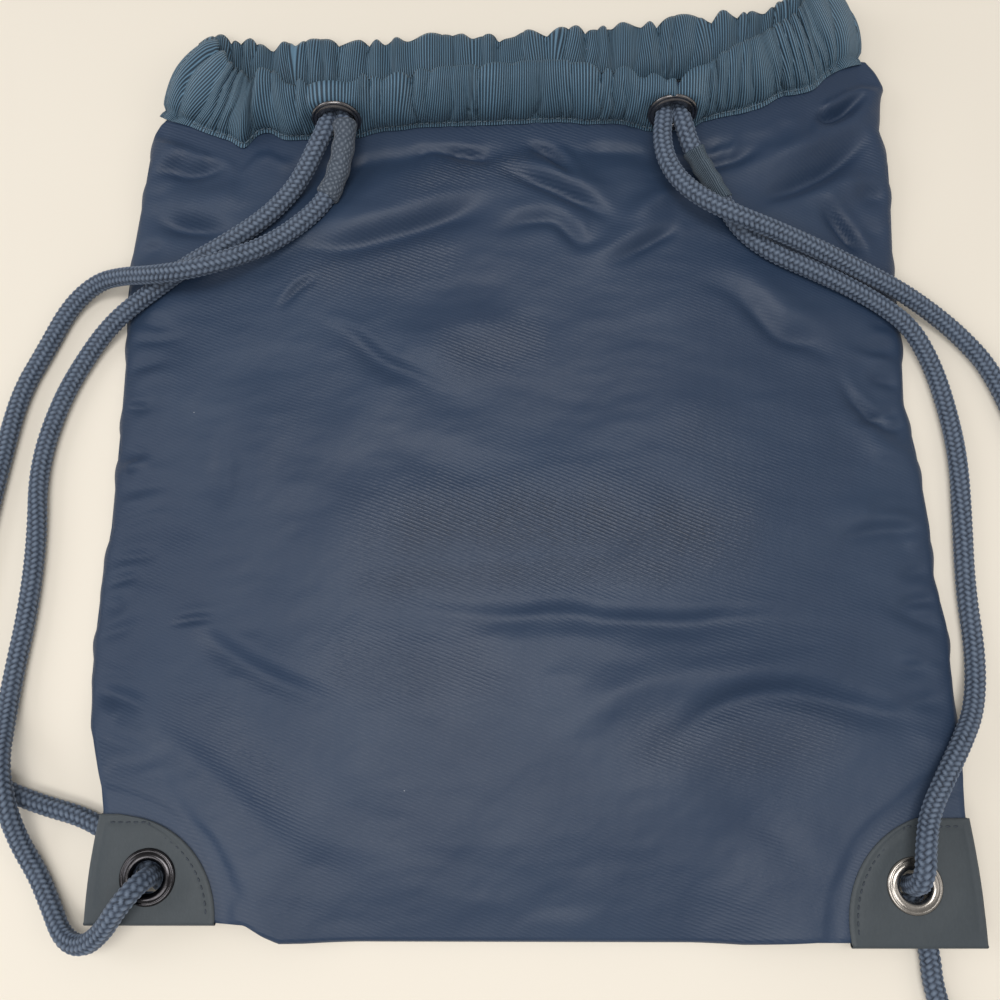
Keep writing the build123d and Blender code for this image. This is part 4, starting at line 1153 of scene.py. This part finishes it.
def patch(name, node_name, x_out, x_in, y0, y1, seat, centre):
    """A quarter-round patch folded round the bottom edge. x_out(y), x_in(y): its outer edge and its round edge."""
    top, under = 14.05, 9.95
    nx = 64
    q = np.linspace(0, 1, nx)
    yv = np.r_[np.linspace(y1, y0 + 0.6, 56)]
    rows = [(yy, 0) for yy in yv]
    arc = np.linspace(math.radians(90), math.radians(-90), 11)
    mid, half = (top + under) / 2, (top - under) / 2
    pts, edge = [], []

    def leaf(yy, zz, sign):
        a, b = x_out(yy), x_in(yy)
        xs = a + (b - a) * q
        e = np.minimum(np.abs(xs - a), np.abs(xs - b))
        e = np.minimum(e, (y1 - yy) + 0.0)
        droop = 0.55 * (1 - np.clip(e / 0.9, 0, 1)) ** 2
        soft = 0.45 * smooth(e / 8.0) * smooth((np.hypot(xs - centre[0], yy - centre[1]) - 10.5) / 8) * smooth((yy - y0) / 10)
        crease = -0.22 * np.exp(-(((e - 3.0) / 0.8) ** 2))
        grain = 0.05 * waves(xs, np.full_like(xs, yy), 11, 8, 2)
        z = zz + sign * (soft + crease * (yy > y0 + 6) + grain - droop)
        return np.stack([xs, np.full_like(xs, yy), z], 1), 1 - np.clip(e / 1.2, 0, 1)

    for k, yy in enumerate(yv):
        p, e = leaf(yy, top, 1)
        if k == 0:
            wall = p.copy()
            wall[:, 2] -= 0.75
            pts.append(wall)
            edge.append(np.ones(nx))
        pts.append(p)
        edge.append(e)
    for w in arc[1:-1]:
        yy = y0 + 0.6 - 1.5 * math.cos(w)
        a, b = x_out(y0), x_in(y0)
        xs = a + (b - a) * q
        p = np.stack([xs, np.full_like(xs, yy), np.full_like(xs, mid + half * math.sin(w))], 1)
        pts.append(p)
        edge.append(np.full(nx, 0.35 * max(0.0, math.cos(w)) ** 2))
    for k, yy in enumerate(yv[::-1]):
        p, e = leaf(yy, under, -1)
        pts.append(p)
        edge.append(e)
        if k == len(yv) - 1:
            wall = p.copy()
            wall[:, 2] += 0.75
            pts.append(wall)
            edge.append(np.ones(nx))
    p = np.stack(pts, 0)
    e = np.stack(edge, 0)
    # side walls: one more column each side, turned in under the edge
    sign = np.where(np.arange(len(p)) < len(p) / 2, -0.8, 0.8)
    for side in (0, -1):
        w = p[:, side].copy()
        w[:, 2] += sign
        w = w[:, None, :]
        p = np.concatenate([w, p] if side == 0 else [p, w], 1)
        e = np.concatenate([np.ones((len(e), 1)), e] if side == 0 else [e, np.ones((len(e), 1))], 1)
    dx = np.hypot(p[..., 0] - centre[0], p[..., 1] - centre[1])
    dc = 0.25 * (dx[:-1, :-1] + dx[1:, :-1] + dx[:-1, 1:] + dx[1:, 1:])
    v = np.cumsum(np.r_[0, np.linalg.norm(np.diff(p[:, nx // 2], axis=0), axis=1)])
    U = p[..., 0] * MM
    V = np.repeat(v[:, None] * MM, p.shape[1], 1)
    ob = grid(name, p, U, V, keep=dc > 6.4, attrs={"edge": e}, flip=(x_in(y0) > x_out(y0)))
    dress(ob, LEATHER)
    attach(ob, "bag_base")
    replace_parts(ob, node_name)
    return ob


def round_edge(p0, p1, p2):
    """x on the circle through three points, as a function of y."""
    (ax, ay), (bx_, by_), (cx, cy) = p0, p1, p2
    d = 2 * (ax * (by_ - cy) + bx_ * (cy - ay) + cx * (ay - by_))
    ux = ((ax * ax + ay * ay) * (by_ - cy) + (bx_ * bx_ + by_ * by_) * (cy - ay) + (cx * cx + cy * cy) * (ay - by_)) / d
    uy = ((ax * ax + ay * ay) * (cx - bx_) + (bx_ * bx_ + by_ * by_) * (ax - cx) + (cx * cx + cy * cy) * (bx_ - ax)) / d
    r = math.hypot(ax - ux, ay - uy)
    s = 1 if ax > ux else -1
    return lambda yy: ux + s * math.sqrt(max(0.0, r * r - (yy - uy) ** 2))


in_left = round_edge((-118, -197.75), (-127.2, -172.6), (-151, -159))
in_right = round_edge((124.8, -206), (131.4, -175.6), (152.5, -159.7))


def out_left(yy):
    f = (yy + 197.75) / (197.75 - 157)
    return -167.6 + 3.1 * f - 0.9 * math.sin(math.pi * min(1, max(0, f)))


def out_right(yy):
    f = (yy + 206) / (206 - 159.3)
    return 176.2 - 2.8 * f + 0.8 * math.sin(math.pi * min(1, max(0, f)))


patch_l = patch("patch_left", "corner_patch_left", out_left, in_left, -198.2, -158.0, 14.07, EYES_LOW[0])
patch_r = patch("patch_right", "corner_patch_right", out_right, in_right, -206.4, -159.6, 14.07, EYES_LOW[1])


def patch_stitches(name, x_in, x_out, y_low, y_top, inset=3.0):
    ys_ = np.linspace(y_low + 2, y_top - inset, 400)
    line = [(x_in(v), v) for v in ys_]
    side = 1 if x_out(y_low) > x_in(y_low) else -1
    pts = np.array(line)
    t = np.gradient(pts, axis=0)
    t /= np.linalg.norm(t, axis=1)[:, None]
    nrm = np.stack([-t[:, 1], t[:, 0]], 1)
    inner = pts + nrm * inset * (1 if (nrm[200, 0] * side) > 0 else -1)
    last = inner[inner[:, 1] < y_top - inset]
    end = np.array([[x, y_top - inset] for x in np.linspace(last[-1, 0], x_out(y_top) - side * 2.5, 60)[1:]])
    run = np.vstack([last, end])
    d = np.r_[0, np.cumsum(np.linalg.norm(np.diff(run, axis=0), axis=1))]
    segs = []
    s0 = 1.0
    while s0 < d[-1] - 2.4:
        a = np.array([np.interp(s0, d, run[:, 0]), np.interp(s0, d, run[:, 1]), 14.02])
        b = np.array([np.interp(s0 + 2.0, d, run[:, 0]), np.interp(s0 + 2.0, d, run[:, 1]), 14.02])
        segs.append((a, b, (0, 0, 1)))
        s0 += 3.0
    ob = join_capsules(name, segs, 0.34)
    dress(ob, THREAD_DARK)
    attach(ob, "bag_base")
    return ob


patch_stitches("patch_thread_left", in_left, out_left, -197.5, -158.0)
patch_stitches("patch_thread_right", in_right, out_right, -205.5, -159.6)

# ------------------------------------------------------------------ eyelets


def eyelet(name, node_name, centre, axis, mat, body, depth, height=1.5):
    profile = [(10.75, -0.05), (10.75, 0.30), (10.62, 0.62), (10.30, 0.88), (9.85, 1.02), (9.60, 0.98), (9.40, 0.95), (9.15, 1.12),
               (8.70, 1.34), (8.10, 1.46), (7.50, 1.44), (6.95, 1.30), (6.50, 1.02), (6.22, 0.62), (6.08, 0.10), (6.02, -0.8), (6.02, -depth + 0.8),
               (6.10, -depth + 0.1), (6.60, -depth - 0.3)]
    z = np.array(axis, float) / np.linalg.norm(axis)
    a = np.cross(z, [1.0, 0, 0])
    a /= np.linalg.norm(a)
    b = np.cross(z, a)
    n = 112
    th = np.linspace(0, 2 * math.pi, n + 1)[:-1]
    c = np.array(centre, float)
    p = np.stack([c + r * (np.cos(th)[:, None] * a + np.sin(th)[:, None] * b) + h * z for r, h in profile], 0)
    ob = grid(name, p, wrap=True)
    dress(ob, mat)
    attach(ob, body)
    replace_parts(ob, node_name)
    return ob


eyelet("eyelet_ring_top_left", "eyelet_top_left", EYES_TOP[0], EYE_N, METAL, "mouth_front", 2.2)
eyelet("eyelet_ring_top_right", "eyelet_top_right", EYES_TOP[1], EYE_N, METAL, "mouth_front", 2.2)
# the lower eyelets take the painted dark and painted bright reflection copies of the metal
eyelet("eyelet_ring_low_left", "eyelet_bottom_left", (*EYES_LOW[0], 14.07), (0, 0, 1), METAL_PAINTED_DARK_REFLECTION, "bag_base", 4.4)
eyelet("eyelet_ring_low_right", "eyelet_bottom_right", (*EYES_LOW[1], 14.07), (0, 0, 1), METAL_PAINTED_BRIGHT_REFLECTION, "bag_base", 4.4)

for n_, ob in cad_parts.items():
    if n_.startswith(("washer", "eyelet")):
        dress(ob, METAL)

# ------------------------------------------------------------------ table top and light

floor_mat, ft, fb = material("pale_table")
tc = ft.nodes.new("ShaderNodeTexCoord")
blot = noise(ft, tc.outputs["Object"], 3.0, 3.0)
ft.links.new(ramp(ft, blot, [(0.3, (0.775, 0.722, 0.635)), (0.7, (0.795, 0.742, 0.655))]), fb.inputs["Base Color"])
ft.links.new(math_node(ft, "MULTIPLY_ADD", blot, 0.1, 0.5), fb.inputs["Roughness"])
fb.inputs["Specular IOR Level"].default_value = 0.25
me = bpy.data.meshes.new("table_top")
me.from_pydata([(-4, -4, 0), (4, -4, 0), (4, 4, 0), (-4, 4, 0)], [], [(0, 1, 2, 3)])
table_top = bpy.data.objects.new("table_top", me)
scene.collection.objects.link(table_top)
table_top.data.materials.append(floor_mat)

world = bpy.data.worlds.new("world")
scene.world = world
world.use_nodes = True
bg = world.node_tree.nodes["Background"]
bg.inputs[0].default_value = (1.0, 0.98, 0.95, 1.0)
bg.inputs[1].default_value = 0.40


def area(name, at, look, size, energy, color=(1, 1, 1)):
    data = bpy.data.lights.new(name, "AREA")
    data.shape = "RECTANGLE"
    data.size, data.size_y = size
    data.energy = energy
    data.color = color
    ob = bpy.data.objects.new(name, data)
    ob.location = at
    ob.rotation_euler = (Vector(look) - Vector(at)).to_track_quat("-Z", "Y").to_euler()
    scene.collection.objects.link(ob)
    return ob


area("ceiling_light", (0.0, -0.02, 1.9), (0.0, 0.0, 0.0), (1.0, 0.5), 13.8, (1.0, 0.98, 0.95))
area("front_light", (-0.30, -0.78, 1.4), (0.0, -0.05, 0.0), (1.0, 0.5), 7.6, (1.0, 0.98, 0.95))
area("window_left", (-1.7, 0.1, 1.2), (0.0, 0.0, 0.0), (1.0, 1.0), 8.0, (0.97, 0.98, 1.0))
area("fill_right", (1.5, -0.3, 1.4), (0.0, 0.0, 0.0), (1.0, 1.0), 3.0, (1.0, 0.96, 0.92))
